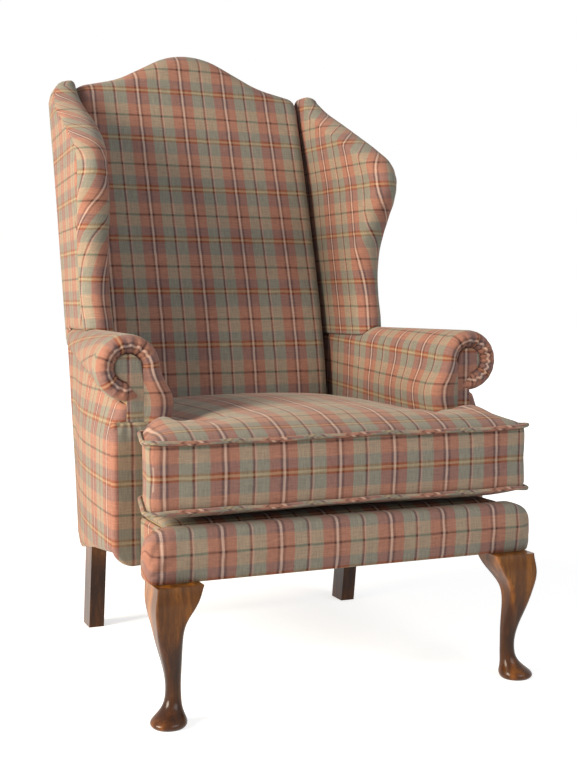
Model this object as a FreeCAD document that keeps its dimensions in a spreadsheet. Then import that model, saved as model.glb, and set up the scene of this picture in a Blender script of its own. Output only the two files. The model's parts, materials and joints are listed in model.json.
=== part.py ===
import FreeCAD, Part
import math
import os
import Sketcher

# Fireside chair: a wing chair with scroll arms, a loose seat cushion and cabriole front legs.
# Millimetres. The chair faces -Y, +X is to the right as one looks at its front, +Z is up.
# While it is built, Y is measured from the arm fronts' setting-out line. At the end every
# piece is moved by one amount, so that the origin lies on the floor under the chair's middle.

Vector = FreeCAD.Vector
doc = FreeCAD.newDocument("FiresideChair")

# Driving dimensions, in millimetres and degrees.
SIZES = {
    # The whole chair.
    "fit_gap": 0.3,              # a soft or loose piece stands this far from its neighbour
    "seat_base_height": 206,     # underside of the front rail and of the padded border
    "rail_top_height": 268,      # top edge of the four seat rails
    # Seat rails.
    "rail_thickness": 26,
    "front_rail_front": -292,    # front face of the front rail
    "side_rail_centre": 268.2,   # middle of each side rail, from the chair's middle
    "side_rail_bottom_front": 229,
    "side_rail_bottom_rear": 180,
    "corner_block_leg": 58,
    "corner_block_height": 28,
    # Rear legs.
    "rear_leg_width": 28,
    "rear_leg_depth": 45,
    "rear_leg_foot_front": 251,  # front edge of the foot on the floor
    "rear_leg_knee_front": 222,  # front edge where the leg enters the seat
    "rear_leg_knee_height": 171,
    "rear_leg_outside": 275,
    # Front legs: a cabriole leg set on the diagonal of its corner.
    "knee_block_side": 70,
    "front_foot_side": 292,      # middle of the foot, from the chair's middle
    "front_foot_front": -305,
    "stud_diameter": 8,
    "stud_length": 80,
    # Back frame, which leans back from the hem.
    "rake": 15.6,
    "back_hem_depth": 277,       # rear face of the back at the hem
    "back_hem_height": 165,
    "back_panel_thickness": 7.5,
    "upright_thickness": 25.5,
    "upright_width": 28,
    "upright_start": 80,         # heights in the back are measured up its slope from the hem
    "upright_below_shoulder": 88,
    "crest_shoulder": 888,
    "crest_waist_rise": 22,      # the waist and the peak stand this far over the shoulder
    "crest_waist_half_width": 150,
    "crest_peak_rise": 104,
    "crest_waist_radius": 200,
    "crest_peak_radius": 143,
    "crest_padding": 24,
    "back_half_width_low": 231,
    "back_half_width_high": 241,
    "back_pad_bottom": 112,
    "back_pad_bottom_depth": 46,
    "back_pad_belly": 395,
    "back_pad_belly_depth": 100,
    "back_pad_top_depth": 70,
    "stay_rail_height": 42,
    # Outside skins of the chair.
    "skin_thickness": 6,
    "side_half_width_rear": 283,
    "side_half_width_front": 332,
    "hem_front_height": 222,
    "hem_rear_height": 171,
    "hem_rear_depth": 275,
    # Arms.
    "arm_front": -138,           # front face of the arm stump and of the scroll
    "arm_top_height": 560,
    "scroll_radius_front": 52,
    "scroll_radius_rear": 26,
    "scroll_centre_front": 303,
    "scroll_centre_rear": 263,
    "arm_inner_low": 233,
    "arm_inner_high": 240,
    "arm_inner_high_height": 457,
    "stump_thickness": 24,
    "stump_depth": 50,
    "arm_rail_thickness": 22,
    "arm_rail_width_front": 60,
    "arm_rail_width_rear": 22,
    "facing_radius": 23,
    "facing_neck_width": 23,
    "facing_thickness": 4.5,
    "front_post_pad": 11,
    "front_post_top_height": 428,
    "front_post_corner": 34,
    # Padded border on the front rail.
    "border_half_length": 324,
    "border_top_height": 283,
    "border_padding": 14,
    # Seat support.
    "spring_wire": 3.8,
    "spring_count": 5,
    "spring_runs": 17,
    "spring_width": 62,
    "spring_spacing": 88,
    "deck_top_height": 287,
    "deck_pad_thickness": 10,
    "sheet_thickness": 1.2,
    # Wings.
    "wing_over_shoulder": 9.9,   # the wing ends this far over the crest's shoulder
    "wing_board_thickness": 18,
    "wing_seam_setback": 12,     # the board starts this far behind the middle of the roll
    # Loose T-shaped seat cushion.
    "cushion_half_width": 335,
    "cushion_front": -312,
    "cushion_rear": 260,
    "cushion_ear_rear": -151.5,
    "cushion_ear_rear_half_width": 298,
    "cushion_bottom_height": 287.3,
    "cushion_low_seam": 309,
    "cushion_high_seam": 407,
    "cushion_crown_height": 434,
    "cushion_corner": 22,
    "cushion_cover": 3,
    "cushion_draw_in": 7,
    "piping_diameter": 7.5,
    "zip_length": 380,
    "zip_width": 26,
}

sheet = doc.addObject("Spreadsheet::Sheet", "Sizes")
for row, (alias, number) in enumerate(SIZES.items(), start=1):
    sheet.set(f"A{row}", alias)
    sheet.set(f"B{row}", str(number))
    sheet.setAlias(f"B{row}", alias)
doc.recompute()


def size(alias):
    return sheet.get(alias)


GAP = size("fit_gap")
RAKE_SIN = math.sin(math.radians(size("rake")))
RAKE_COS = math.cos(math.radians(size("rake")))
SIDES = (("left", -1), ("right", 1))
pieces = {}
upright_end = size("crest_shoulder") - size("upright_below_shoulder")
crest_waist = size("crest_shoulder") + size("crest_waist_rise")
crest_peak = size("crest_shoulder") + size("crest_peak_rise")


def back_point(depth, height):
    # A point of the leaning back: depth forward from its rear face, height up its slope.
    y = size("back_hem_depth") + height * RAKE_SIN - depth * RAKE_COS
    z = size("back_hem_height") + height * RAKE_COS + depth * RAKE_SIN
    return y, z


def back_rear_at(z, depth=0.0):
    # Y of the plane that lies depth in front of the back's rear face, at the height z.
    rise = z - size("back_hem_height")
    return size("back_hem_depth") + rise * RAKE_SIN / RAKE_COS - depth / RAKE_COS


def back_placement(x=0.0, depth=0.0, height=0.0):
    y, z = back_point(depth, height)
    return FreeCAD.Placement(Vector(x, y, z), FreeCAD.Rotation(Vector(1, 0, 0), -size("rake")))


def keep(name, obj, placement=None):
    # Registers a finished piece under the name that its file gets.
    if placement is not None:
        obj.Placement = placement
    obj.Label = name
    pieces[name] = obj
    return obj


def feature(name, shape, placement=None):
    obj = doc.addObject("Part::Feature", name)
    obj.Shape = shape
    return keep(name, obj, placement or FreeCAD.Placement())


def at(x, y, z):
    return FreeCAD.Placement(Vector(x, y, z), FreeCAD.Rotation())


def box(name, length, width, height, placement):
    # A plain board: its three sizes are expressions on the sheet.
    board = doc.addObject("Part::Box", name)
    board.setExpression("Length", length)
    board.setExpression("Width", width)
    board.setExpression("Height", height)
    board.Placement = placement
    return board


def sketched_board(name, role, corners, thickness, placement, holes=()):
    # A board sawn to an outline: a sketch on one of the body's own planes, and a pad.
    body = doc.addObject("PartDesign::Body", name)
    sketch = body.newObject("Sketcher::SketchObject", name + "_outline")
    plane = [part for part in body.Origin.OriginFeatures if part.Role == role][0]
    sketch.AttachmentSupport = [(plane, "")]
    sketch.MapMode = "FlatFace"
    count = len(corners)
    for number, start in enumerate(corners):
        end = corners[(number + 1) % count]
        line = Part.LineSegment(Vector(start[0], start[1], 0), Vector(end[0], end[1], 0))
        sketch.addGeometry(line, False)
    for number in range(count):
        joint = Sketcher.Constraint("Coincident", number, 2, (number + 1) % count, 1)
        sketch.addConstraint(joint)
    for number, corner in enumerate(corners):
        sketch.addConstraint(Sketcher.Constraint("DistanceX", -1, 1, number, 1, corner[0]))
        sketch.addConstraint(Sketcher.Constraint("DistanceY", -1, 1, number, 1, corner[1]))
    for x, y, diameter in holes:
        circle = sketch.addGeometry(Part.Circle(Vector(x, y, 0), Vector(0, 0, 1), 1), False)
        sketch.addConstraint(Sketcher.Constraint("DistanceX", -1, 1, circle, 3, x))
        sketch.addConstraint(Sketcher.Constraint("DistanceY", -1, 1, circle, 3, y))
        bore = sketch.addConstraint(Sketcher.Constraint("Diameter", circle, 2.0))
        sketch.setExpression(f"Constraints[{bore}]", diameter)
    pad = body.newObject("PartDesign::Pad", name + "_thickness")
    pad.Profile = sketch
    pad.setExpression("Length", thickness)
    body.Tip = pad
    return keep(name, body, placement)


def rounded_loop(corners, lift):
    # A closed wire of lines and tangent arcs. Each corner is (a, b, radius), and lift turns
    # a flat point into a point in space.
    count = len(corners)
    turns = []
    for number, (a, b, radius) in enumerate(corners):
        here = Vector(a, b, 0)
        before = Vector(corners[number - 1][0], corners[number - 1][1], 0) - here
        after = Vector(corners[(number + 1) % count][0], corners[(number + 1) % count][1], 0) - here
        before.normalize()
        after.normalize()
        half = before.getAngle(after) / 2
        reach = radius / math.tan(half)
        inward = before + after
        if radius > 0:
            inward.normalize()
        middle = here + inward * (radius / math.sin(half) - radius)
        turns.append((here + before * reach, middle, here + after * reach, radius))
    edges = []
    for number, (start, middle, end, radius) in enumerate(turns):
        if radius > 0:
            points = [lift(point.x, point.y) for point in (start, middle, end)]
            edges.append(Part.Arc(*points).toShape())
        following = turns[(number + 1) % count][0]
        edges.append(Part.makeLine(lift(end.x, end.y), lift(following.x, following.y)))
    return Part.Wire(edges)


def prism(wire, direction):
    return Part.Face(wire).extrude(direction)


def loft(wires, ruled=True):
    return Part.makeLoft(wires, True, ruled)


def across(side):
    # Lifts (a, b) into the plane of a cross-section seen from the front, at one Y.
    def at_depth(y):
        return lambda a, b: Vector(side * a, y, b)
    return at_depth


def level(z, side=1):
    # Lifts (a, b) into a horizontal plane.
    return lambda a, b: Vector(side * a, b, z)


# Seat frame.
RAIL = size("rail_thickness")
rail_inner = size("side_rail_centre") - RAIL / 2
rail_outer = size("side_rail_centre") + RAIL / 2
rail_top = size("rail_top_height")
front_rail_rear = size("front_rail_front") + RAIL
knee_front = size("rear_leg_knee_front")
stud_x = rail_outer - RAIL / 2
stud_bore = "Sizes.stud_diameter + 0.1"


def make_front_rail():
    # The studs of the front legs pass up through it.
    front = size("front_rail_front")
    middle = front + RAIL / 2
    corners = [
        (-rail_outer, front),
        (rail_outer, front),
        (rail_outer, front_rail_rear),
        (-rail_outer, front_rail_rear),
    ]
    holes = [(-stud_x, middle, stud_bore), (stud_x, middle, stud_bore)]
    height = "Sizes.rail_top_height - Sizes.seat_base_height"
    place = at(0, 0, size("seat_base_height"))
    sketched_board("front_seat_rail", "XY_Plane", corners, height, place, holes)


def make_side_rails():
    # Each board is sawn so that its lower edge falls towards the rear leg.
    corners = [
        (front_rail_rear, size("side_rail_bottom_front")),
        (knee_front, size("side_rail_bottom_rear")),
        (knee_front, rail_top),
        (front_rail_rear, rail_top),
    ]
    for word, side in SIDES:
        start = rail_inner if side > 0 else -rail_outer
        sketched_board("side_seat_rail_" + word, "YZ_Plane", corners,
                       "Sizes.rail_thickness", at(start, 0, 0))


rear_leg_inside = size("rear_leg_outside") - size("rear_leg_width")
leg_top_rear = back_point(size("back_panel_thickness") + 1, size("upright_start"))
leg_top_front = back_point(50, size("upright_start"))
rear_stud_height = 212
rear_stud_depth = knee_front + RAIL / 2


def make_rear_rail():
    # It spans between the rear legs, and takes their studs in its ends.
    half = rear_leg_inside
    rail = box("rear_rail_board", f"{2 * half}", "Sizes.rail_thickness",
               "Sizes.rail_top_height - Sizes.side_rail_bottom_rear - 8",
               at(-half, knee_front, size("side_rail_bottom_rear")))
    bore = doc.addObject("Part::Cylinder", "rear_stud_bores")
    bore.setExpression("Radius", "Sizes.stud_diameter / 2 + 0.05")
    bore.Height = 2 * half
    bore.Placement = FreeCAD.Placement(Vector(-half, rear_stud_depth, rear_stud_height),
                                       FreeCAD.Rotation(Vector(0, 1, 0), 90))
    cut = doc.addObject("Part::Cut", "rear_seat_rail")
    cut.Base = rail
    cut.Tool = bore
    keep("rear_seat_rail", cut)


def make_rear_legs():
    # The leg kicks back at the floor, and rises behind the seat to carry the back upright.
    depth = size("rear_leg_depth")
    foot = size("rear_leg_foot_front")
    knee = size("rear_leg_knee_height")
    corners = [
        (foot, 0),
        (foot + depth, 0),
        (knee_front + depth, knee),
        leg_top_rear,
        leg_top_front,
        (knee_front, knee + 30),
        (knee_front, knee),
    ]
    for word, side in SIDES:
        start = rear_leg_inside if side > 0 else -size("rear_leg_outside")
        board = sketched_board("rear_leg_" + word, "YZ_Plane", corners,
                               "Sizes.rear_leg_width", at(start, 0, 0))
        hole = doc.addObject("Part::Cylinder", f"rear_leg_{word}_bore")
        hole.setExpression("Radius", "Sizes.stud_diameter / 2 + 0.05")
        hole.Height = size("rear_leg_width") - 8
        hole_start = side * rear_leg_inside
        turn = 90 if side > 0 else -90
        hole.Placement = FreeCAD.Placement(Vector(hole_start, rear_stud_depth, rear_stud_height),
                                           FreeCAD.Rotation(Vector(0, 1, 0), turn))
        cut = doc.addObject("Part::Cut", f"rear_leg_{word}_drilled")
        cut.Base = board
        cut.Tool = hole
        board.Label = f"rear_leg_{word}_blank"
        keep("rear_leg_" + word, cut)


# The cabriole leg: at each height, how far its middle stands out along the diagonal from the
# foot, its half width along the diagonal, and the radius of its four corners as a share.
CABRIOLE = (
    (0, 3, 23, 0.97),
    (0.034, 3, 27, 0.97),
    (0.0971, -4, 19, 0.97),
    (0.1748, -10, 12.8, 0.95),
    (0.2816, -11, 11.8, 0.9),
    (0.4078, -8, 14.5, 0.8),
    (0.534, -2, 19, 0.65),
    (0.6311, 2, 22.8, 0.5),
    (0.7184, 3, 27.5, 0.32),
    (0.8058, -1, 36, 0.18),
    (0.8932, -9, 44, 0.1),
)


def make_front_legs():
    diagonal = math.sqrt(0.5)
    block = size("knee_block_side") / 2
    top = size("seat_base_height")
    foot_x = size("front_foot_side")
    foot_y = size("front_foot_front")
    block_inset = -17
    for word, side in SIDES:
        wires = []
        for rise, out, half, share in CABRIOLE:
            centre_x = foot_x + out * diagonal
            centre_y = foot_y - out * diagonal
            # half along the diagonal of a square with rounded corners
            square = half / (math.sqrt(2) - share * (math.sqrt(2) - 1))
            wires.append(rounded_square(centre_x, centre_y, square, square * share, rise * top, side))
        centre_x = foot_x + block_inset * diagonal
        centre_y = foot_y - block_inset * diagonal
        wires.append(rounded_square(centre_x, centre_y, block, 3, top - GAP, side))
        leg = loft(wires, ruled=False)
        bore_start = Vector(side * stud_x, size("front_rail_front") + RAIL / 2, top - 35)
        bore = Part.makeCylinder(size("stud_diameter") / 2 + 0.05, 40, bore_start)
        feature("front_leg_" + word, leg.cut(bore))


def rounded_square(x, y, half, radius, z, side):
    corners = [
        (x - half, y - half, radius),
        (x + half, y - half, radius),
        (x + half, y + half, radius),
        (x - half, y + half, radius),
    ]
    return rounded_loop(corners, level(z, side))


def make_studs():
    # Two upright studs hold the front legs, and two level ones hold the rear legs.
    radius = size("stud_diameter") / 2
    length = size("stud_length")
    studs = []
    for word, side in SIDES:
        foot = Vector(side * stud_x, size("front_rail_front") + RAIL / 2,
                      size("seat_base_height") - 34)
        studs.append(Part.makeCylinder(radius, length, foot))
        head = Vector(side * (rear_leg_inside + size("rear_leg_width") - 9),
                      rear_stud_depth, rear_stud_height)
        studs.append(Part.makeCylinder(radius, length, head, Vector(-side, 0, 0)))
    feature("leg_studs", Part.makeCompound(studs))


def make_corner_blocks():
    # A three-cornered block is glued into each corner of the seat frame.
    leg = size("corner_block_leg")
    height = size("corner_block_height")
    blocks = []
    for word, side in SIDES:
        for y, step in ((front_rail_rear, 1), (knee_front, -1)):
            z = rail_top - height - 8
            points = [
                Vector(side * rail_inner, y, z),
                Vector(side * (rail_inner - leg), y, z),
                Vector(side * rail_inner, y + step * leg, z),
                Vector(side * rail_inner, y, z),
            ]
            blocks.append(prism(Part.makePolygon(points), Vector(0, 0, height)))
    feature("corner_blocks", Part.makeCompound(blocks))


# Arm frame. An arm tapers from a full scroll at the front to a slim one at the back.
arm_front = size("arm_front")
arm_top = size("arm_top_height")
pad_depth = size("back_panel_thickness") + size("upright_thickness") + 4
scroll_end = back_rear_at(arm_top, 0)
stump_inner = rail_outer + GAP
stump_outer = stump_inner + size("stump_thickness")


def scroll_at(y):
    # Middle (x, z) and radius of the scroll at one Y.
    share = (y - arm_front) / (scroll_end - arm_front)
    centre = size("scroll_centre_front")
    centre += share * (size("scroll_centre_rear") - centre)
    radius = size("scroll_radius_front")
    radius += share * (size("scroll_radius_rear") - radius)
    return centre, arm_top - radius, radius


arm_rail_top = arm_top - size("scroll_radius_front") + size("arm_rail_thickness") / 2
arm_rail_bottom = arm_rail_top - size("arm_rail_thickness")
arm_rail_setback = 1.5
arm_rail_length = back_rear_at(arm_rail_top, pad_depth) - arm_front
scroll_rise = size("scroll_radius_front") - size("scroll_radius_rear")
arm_rail_tilt = math.degrees(math.atan2(scroll_rise, scroll_end - arm_front))


def arm_rail_placement():
    # The arm rail follows the rising middle of the scroll. It turns on its lower front edge.
    turn = FreeCAD.Rotation(Vector(1, 0, 0), arm_rail_tilt)
    return FreeCAD.Placement(Vector(0, arm_front, arm_rail_bottom), turn)


def make_arm_stumps():
    for word, side in SIDES:
        start = stump_inner if side > 0 else -stump_outer
        foot = size("seat_base_height") + 26
        stump = box("arm_stump_" + word, "Sizes.stump_thickness", "Sizes.stump_depth",
                    f"{arm_rail_bottom - foot}", at(start, arm_front, foot))
        keep("arm_stump_" + word, stump)


def make_arm_rails():
    # A tapered board lies in the scroll, on the stump, and ends at the back upright.
    front = size("scroll_centre_front")
    rear = size("scroll_centre_rear") + 3
    half_front = size("arm_rail_width_front") / 2
    half_rear = size("arm_rail_width_rear") / 2
    for word, side in SIDES:
        corners = [
            (side * (front - half_front), arm_rail_setback),
            (side * (front + half_front), arm_rail_setback),
            (side * (rear + half_rear), arm_rail_length),
            (side * (rear - half_rear), arm_rail_length),
        ]
        sketched_board("arm_rail_" + word, "XY_Plane", corners,
                       "Sizes.arm_rail_thickness", arm_rail_placement())


# Back frame.
PANEL = size("back_panel_thickness")
skin_inner = size("side_half_width_rear") - size("skin_thickness")


def crest_outline(side_x, shoulder, lower):
    # The serpentine top edge, from one side to the other, moved down by lower.
    waist_x = size("crest_waist_half_width")
    waist_z = crest_waist - lower
    waist_r = size("crest_waist_radius") + lower
    peak = crest_peak - lower
    peak_r = size("crest_peak_radius") - lower
    return [
        (side_x, shoulder - lower, 0),
        (waist_x, waist_z, waist_r),
        (0, peak, peak_r),
        (-waist_x, waist_z, waist_r),
        (-side_x, shoulder - lower, 0),
    ]


def upright_slab(corners, depth, thickness):
    # A flat piece of the back: an outline in (x, height), from one depth forward.
    wire = rounded_loop(corners, lambda a, b: Vector(a, -depth, b))
    return prism(wire, Vector(0, -thickness, 0))


def make_uprights():
    low = size("upright_start") + GAP
    for word, side in SIDES:
        start = skin_inner - GAP - size("upright_width") if side > 0 else GAP - skin_inner
        place = back_placement(start, PANEL + GAP + size("upright_thickness"), low)
        upright = box("back_upright_" + word, "Sizes.upright_width", "Sizes.upright_thickness",
                      f"Sizes.crest_shoulder - Sizes.upright_below_shoulder - {low}", place)
        keep("back_upright_" + word, upright)


def make_crest_rail():
    # The serpentine rail sits on the two uprights and carries the padded crest.
    half = skin_inner - GAP
    low = upright_end
    shoulder = size("crest_shoulder")
    corners = [(-half, low, 0), (half, low, 0), (half, shoulder - size("crest_padding") - 2, 0)]
    corners += crest_outline(size("back_half_width_high"), shoulder, size("crest_padding"))
    corners += [(-half, shoulder - size("crest_padding") - 2, 0)]
    slab = upright_slab(corners, PANEL + GAP, size("upright_thickness"))
    feature("crest_rail", slab, back_placement())


def make_stay_rail():
    # The lower cross rail, to which the covers of the back are tacked.
    half = skin_inner - GAP - size("upright_width")
    place = back_placement(-half, PANEL + GAP + size("upright_thickness"),
                           size("back_pad_bottom"))
    rail = box("back_stay_rail", f"{2 * half}", "Sizes.upright_thickness",
               "Sizes.stay_rail_height", place)
    keep("back_stay_rail", rail)


def make_back_webbing():
    # Five straps across the front of the uprights carry the stuffing of the back.
    half = skin_inner - GAP
    depth = PANEL + GAP + size("upright_thickness")
    first = size("back_pad_bottom") + size("stay_rail_height") + 60
    spacing = (upright_end - first) / 5
    strap = 50
    straps = []
    for number in range(5):
        plate = Part.makeBox(2 * half, 1.6, strap)
        straps.append(plate.translated(Vector(-half, -depth - 1.6, first + number * spacing)))
    feature("back_webbing", Part.makeCompound(straps), back_placement())


# Seat support.
deck_top = size("deck_top_height")
deck_bottom = deck_top - size("deck_pad_thickness")
inside_arm_bottom = rail_top + 1.0


def seat_outline(side_gap, front):
    # The T-shaped plan of the seat between and in front of the arms.
    wide = rail_outer
    narrow = size("arm_inner_low") - side_gap
    step = arm_front - size("front_post_pad") - 2 * GAP
    back_y = back_rear_at(deck_top, pad_depth + 12)
    return [
        (-wide, front, 0),
        (wide, front, 0),
        (wide, step, 0),
        (narrow, step, 0),
        (narrow, back_y, 0),
        (-narrow, back_y, 0),
        (-narrow, step, 0),
        (-wide, step, 0),
    ]


def make_springs():
    # Sinuous springs: straight runs across, joined by half turns, from rail to rail.
    radius = size("spring_wire") / 2
    runs = int(size("spring_runs"))
    first = size("front_rail_front") + RAIL / 2
    last = knee_front + RAIL / 2
    pitch = (last - first) / (runs - 1)
    turn = pitch / 2
    half = size("spring_width") / 2 - turn - radius
    height = rail_top + 1.5 + radius
    springs = []
    clips = []
    count = int(size("spring_count"))
    for number in range(count):
        x = (number - (count - 1) / 2) * size("spring_spacing")
        edges = []
        for run in range(runs):
            y = first + run * pitch
            way = 1 if run % 2 == 0 else -1
            start = Vector(x - way * half, y, height)
            end = Vector(x + way * half, y, height)
            edges.append(Part.makeLine(start, end))
            if run < runs - 1:
                middle = end + Vector(way * turn, turn, 0)
                edges.append(Part.Arc(end, middle, end + Vector(0, pitch, 0)).toShape())
        path = Part.Wire(edges)
        ring = Part.Wire(Part.makeCircle(radius, Vector(x - half, first, height), Vector(1, 0, 0)))
        springs.append(path.makePipeShell([ring], True, False))
        for y, back in ((first, -1), (last, 1)):
            clips.append(spring_clip(x, y, back, height, radius))
    feature("seat_springs", Part.makeCompound(springs))
    feature("spring_clips", Part.makeCompound(clips))


def spring_clip(x, y, back, height, radius):
    # A folded strip that closes over the last run of a spring.
    sheet_metal = 1.2
    inside = radius + 0.2
    corners = []
    for out, rise in ((-7, -1), (inside + sheet_metal, -1), (inside + sheet_metal, 1), (-5, 1)):
        lift = inside + (sheet_metal if rise > 0 else height - rail_top - inside)
        corners.append((y + back * out, height + rise * lift, 0))
    for out, rise in ((-5, 1), (inside, 1), (inside, -1), (-7, -1)):
        corners.append((y + back * out, height + rise * inside, 0))
    wire = rounded_loop(corners, lambda a, b: Vector(x - 9, a, b))
    return prism(wire, Vector(18, 0, 0))


def make_seat_support():
    # Hessian lies over the springs, and the platform pad lies on the hessian.
    thin = size("sheet_thickness")
    clear = size("border_padding")
    outline = seat_outline(GAP, size("front_rail_front") + clear + 14)
    hessian = prism(rounded_loop(outline, level(deck_bottom - GAP - thin)), Vector(0, 0, thin))
    feature("spring_cover", hessian)
    pad = prism(rounded_loop(outline, level(deck_bottom)),
                Vector(0, 0, size("deck_pad_thickness")))
    feature("platform_pad", pad)


def make_bottom_cloth():
    # Black cloth closes the frame from below, along the sloping edges of the side rails.
    start = front_rail_rear + 1
    end = knee_front - 1
    fall = size("side_rail_bottom_front") - size("side_rail_bottom_rear")
    slope = math.degrees(math.atan2(fall, knee_front - front_rail_rear))
    thin = size("sheet_thickness")
    cloth = box("bottom_cloth", f"{2 * rail_outer}", f"{end - start}", "Sizes.sheet_thickness",
                FreeCAD.Placement(
                    Vector(-rail_outer, start, size("side_rail_bottom_front") - thin - GAP - 0.2),
                    FreeCAD.Rotation(Vector(1, 0, 0), -slope)))
    keep("bottom_cloth", cloth)


# Upholstery of the back.
def back_half_width(height):
    low = size("back_half_width_low")
    high = size("back_half_width_high")
    share = (height - size("back_pad_bottom"))
    share /= size("crest_shoulder") - size("back_pad_bottom")
    return low + share * (high - low)


def make_inside_back():
    # The stuffed inside back swells at the loins and rolls over the crest rail.
    low = size("back_pad_bottom")
    shoulder = size("crest_shoulder")
    front = [(-size("back_half_width_low"), low, 0), (size("back_half_width_low"), low, 0)]
    front += crest_outline(size("back_half_width_high"), shoulder, 0)
    outline = upright_slab(front, 0, 120)
    profile = [
        (0, low - 1, 0),
        (size("back_pad_bottom_depth"), low - 1, 0),
        (size("back_pad_belly_depth"), size("back_pad_belly"), 800),
        (size("back_pad_top_depth"), crest_waist + 20, 60),
        (size("back_pad_top_depth") - 16, crest_peak + 10, 0),
        (0, crest_peak + 10, 0),
    ]
    side = prism(rounded_loop(profile, lambda a, b: Vector(-300, -a, b)), Vector(600, 0, 0))
    pad = outline.common(side)
    wide = size("side_half_width_rear")
    rebate = [(-wide, low - 5, 0), (wide, low - 5, 0)]
    rebate += crest_outline(wide, shoulder, size("crest_padding") - 0.5)
    hollow = upright_slab(rebate, -1, pad_depth + 1)
    feature("inside_back", pad.cut(hollow), back_placement())


def make_outside_back():
    # The flat outer panel, tucked under the rolled crest.
    half = skin_inner - GAP
    top = size("crest_shoulder") - size("crest_padding") - 2
    corners = [(-half, 6, 0), (half, 6, 0), (half, top, 0)]
    corners += crest_outline(size("back_half_width_high"), size("crest_shoulder"),
                             size("crest_padding"))
    corners += [(-half, top, 0)]
    feature("outside_back", upright_slab(corners, 0, PANEL), back_placement())


# Wings. Heights are shares of the way from the top of the arm to the top of the wing. At each
# one: the roll's middle, as x and as the distance in front of the back's rear face, and its radius.
WING = (
    (-0.0638, 266, 201, 27),
    (0.0, 268, 203, 28),
    (0.1064, 270, 202, 28),
    (0.2128, 271, 210, 28),
    (0.3191, 273, 230, 28.5),
    (0.4255, 277, 265, 29),
    (0.5213, 282, 300, 28.5),
    (0.6, 284, 314, 27),
    (0.6702, 281, 300, 28),
    (0.734, 276, 258, 29),
    (0.8085, 272, 195, 30),
    (0.883, 271, 131, 29),
    (0.9468, 266, 88, 24),
    (1.0, 261, 67, 19),
)
wing_top = back_point(0, size("crest_shoulder"))[1] + size("wing_over_shoulder")


def wing_stations():
    arm_top = size("arm_top_height")
    stations = []
    for share, x, forward, radius in WING:
        z = arm_top + share * (wing_top - arm_top)
        stations.append((z, x, back_rear_at(z) - forward, radius))
    return stations


def wing_quad(z, side, x_near, x_far, start, rear_depth, radius=0.0):
    # One level section of a wing piece. x_near and x_far give the inner and outer face as
    # functions of y, so that pieces in one wing share the same slanting faces.
    end = back_rear_at(z, rear_depth)
    corners = [
        (x_near(start), start, radius),
        (x_far(start), start, radius),
        (x_far(end), end, 0),
        (x_near(end), end, 0),
    ]
    return rounded_loop(corners, level(z, side))


def wing_faces(station):
    # Inner and outer face of the wing at one height, as straight lines in plan.
    z, x, y, radius = station
    rise = (z - size("back_hem_height")) / RAKE_COS
    rear_in = back_half_width(min(rise, size("crest_shoulder"))) + 2 * GAP
    rear_out = size("side_half_width_rear")
    end = back_rear_at(z)

    def inner(at_y):
        share = (at_y - y) / (end - y)
        return (x - radius) + share * (rear_in - (x - radius))

    def outer(at_y):
        share = (at_y - y) / (end - y)
        return (x + radius) + share * (rear_out - (x + radius))

    return inner, outer


def make_wings():
    skin = size("skin_thickness")
    board = size("wing_board_thickness")
    for word, side in SIDES:
        whole = []
        hollow = []
        boards = []
        skins = []
        for station in wing_stations():
            z, x, y, radius = station
            inner, outer = wing_faces(station)
            start = y + size("wing_seam_setback")
            roll = radius * 0.93
            whole.append(wing_quad(z, side, inner, outer, y - radius, pad_depth, roll))
            hollow.append(wing_quad(
                z, side,
                lambda at_y: outer(at_y) - skin - board - 2 * GAP,
                lambda at_y: outer(at_y) + 20, start, -20))
            boards.append(wing_quad(
                z, side,
                lambda at_y: outer(at_y) - skin - board - GAP,
                lambda at_y: outer(at_y) - skin - GAP, start + GAP, pad_depth))
            skins.append(wing_quad(
                z, side, lambda at_y: outer(at_y) - skin, outer, start + GAP, 0))
        saddle = arm_saddle(side)
        feature("inside_wing_" + word, loft(whole).cut(loft(hollow)).cut(saddle))
        feature("wing_board_" + word, loft(boards).cut(saddle))
        feature("outside_wing_" + word, loft(skins).cut(saddle))


# Upholstery of the arms.
def arm_section(side, y, grow):
    # The scroll and the inner pad below it, seen from the front.
    x, z, radius = scroll_at(y)
    radius += grow
    inner_low = size("arm_inner_low") - grow
    inner_high = size("arm_inner_high") - grow
    waist = size("arm_inner_high_height")
    lift = across(side)(y)
    shoulder = (x - radius, z)
    bottom = inside_arm_bottom - grow
    # The inner pad leaves the scroll on the side of the seat.
    points = [
        (inner_low, bottom),
        (inner_high if inner_high < shoulder[0] else shoulder[0] - 0.5, waist),
        shoulder,
    ]
    edges = [
        Part.makeLine(lift(*points[0]), lift(*points[1])),
        Part.makeLine(lift(*points[1]), lift(*points[2])),
    ]
    diagonal = radius * math.sqrt(0.5)
    turns = (
        ((x - radius, z), (x - diagonal, z + diagonal), (x, z + radius)),
        ((x, z + radius), (x + diagonal, z + diagonal), (x + radius, z)),
        ((x + radius, z), (x + diagonal, z - diagonal), (x, z - radius)),
    )
    for turn in turns:
        edges.append(Part.Arc(*[lift(*point) for point in turn]).toShape())
    neck = min(rail_outer + grow, x - 1)
    under = z - math.sqrt(max(radius ** 2 - (x - neck) ** 2, 1.0))
    edges.append(Part.makeLine(lift(x, z - radius), lift(neck, under)))
    edges.append(Part.makeLine(lift(neck, under), lift(neck, bottom)))
    edges.append(Part.makeLine(lift(neck, bottom), lift(inner_low, bottom)))
    return Part.Wire(edges)


def arm_solid(side, grow):
    stations = [arm_front - grow, scroll_end + 20]
    return loft([arm_section(side, y, grow) for y in stations])


def behind_plane(depth):
    # Everything behind the plane that lies depth in front of the back's rear face.
    big = Part.makeBox(900, 900, 1600, Vector(-450, -depth, -400))
    big.Placement = back_placement().multiply(big.Placement)
    return big


def arm_saddle(side):
    # The room that the arm's scroll needs in whatever meets it.
    return arm_solid(side, GAP).cut(behind_plane(pad_depth - GAP))


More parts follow.
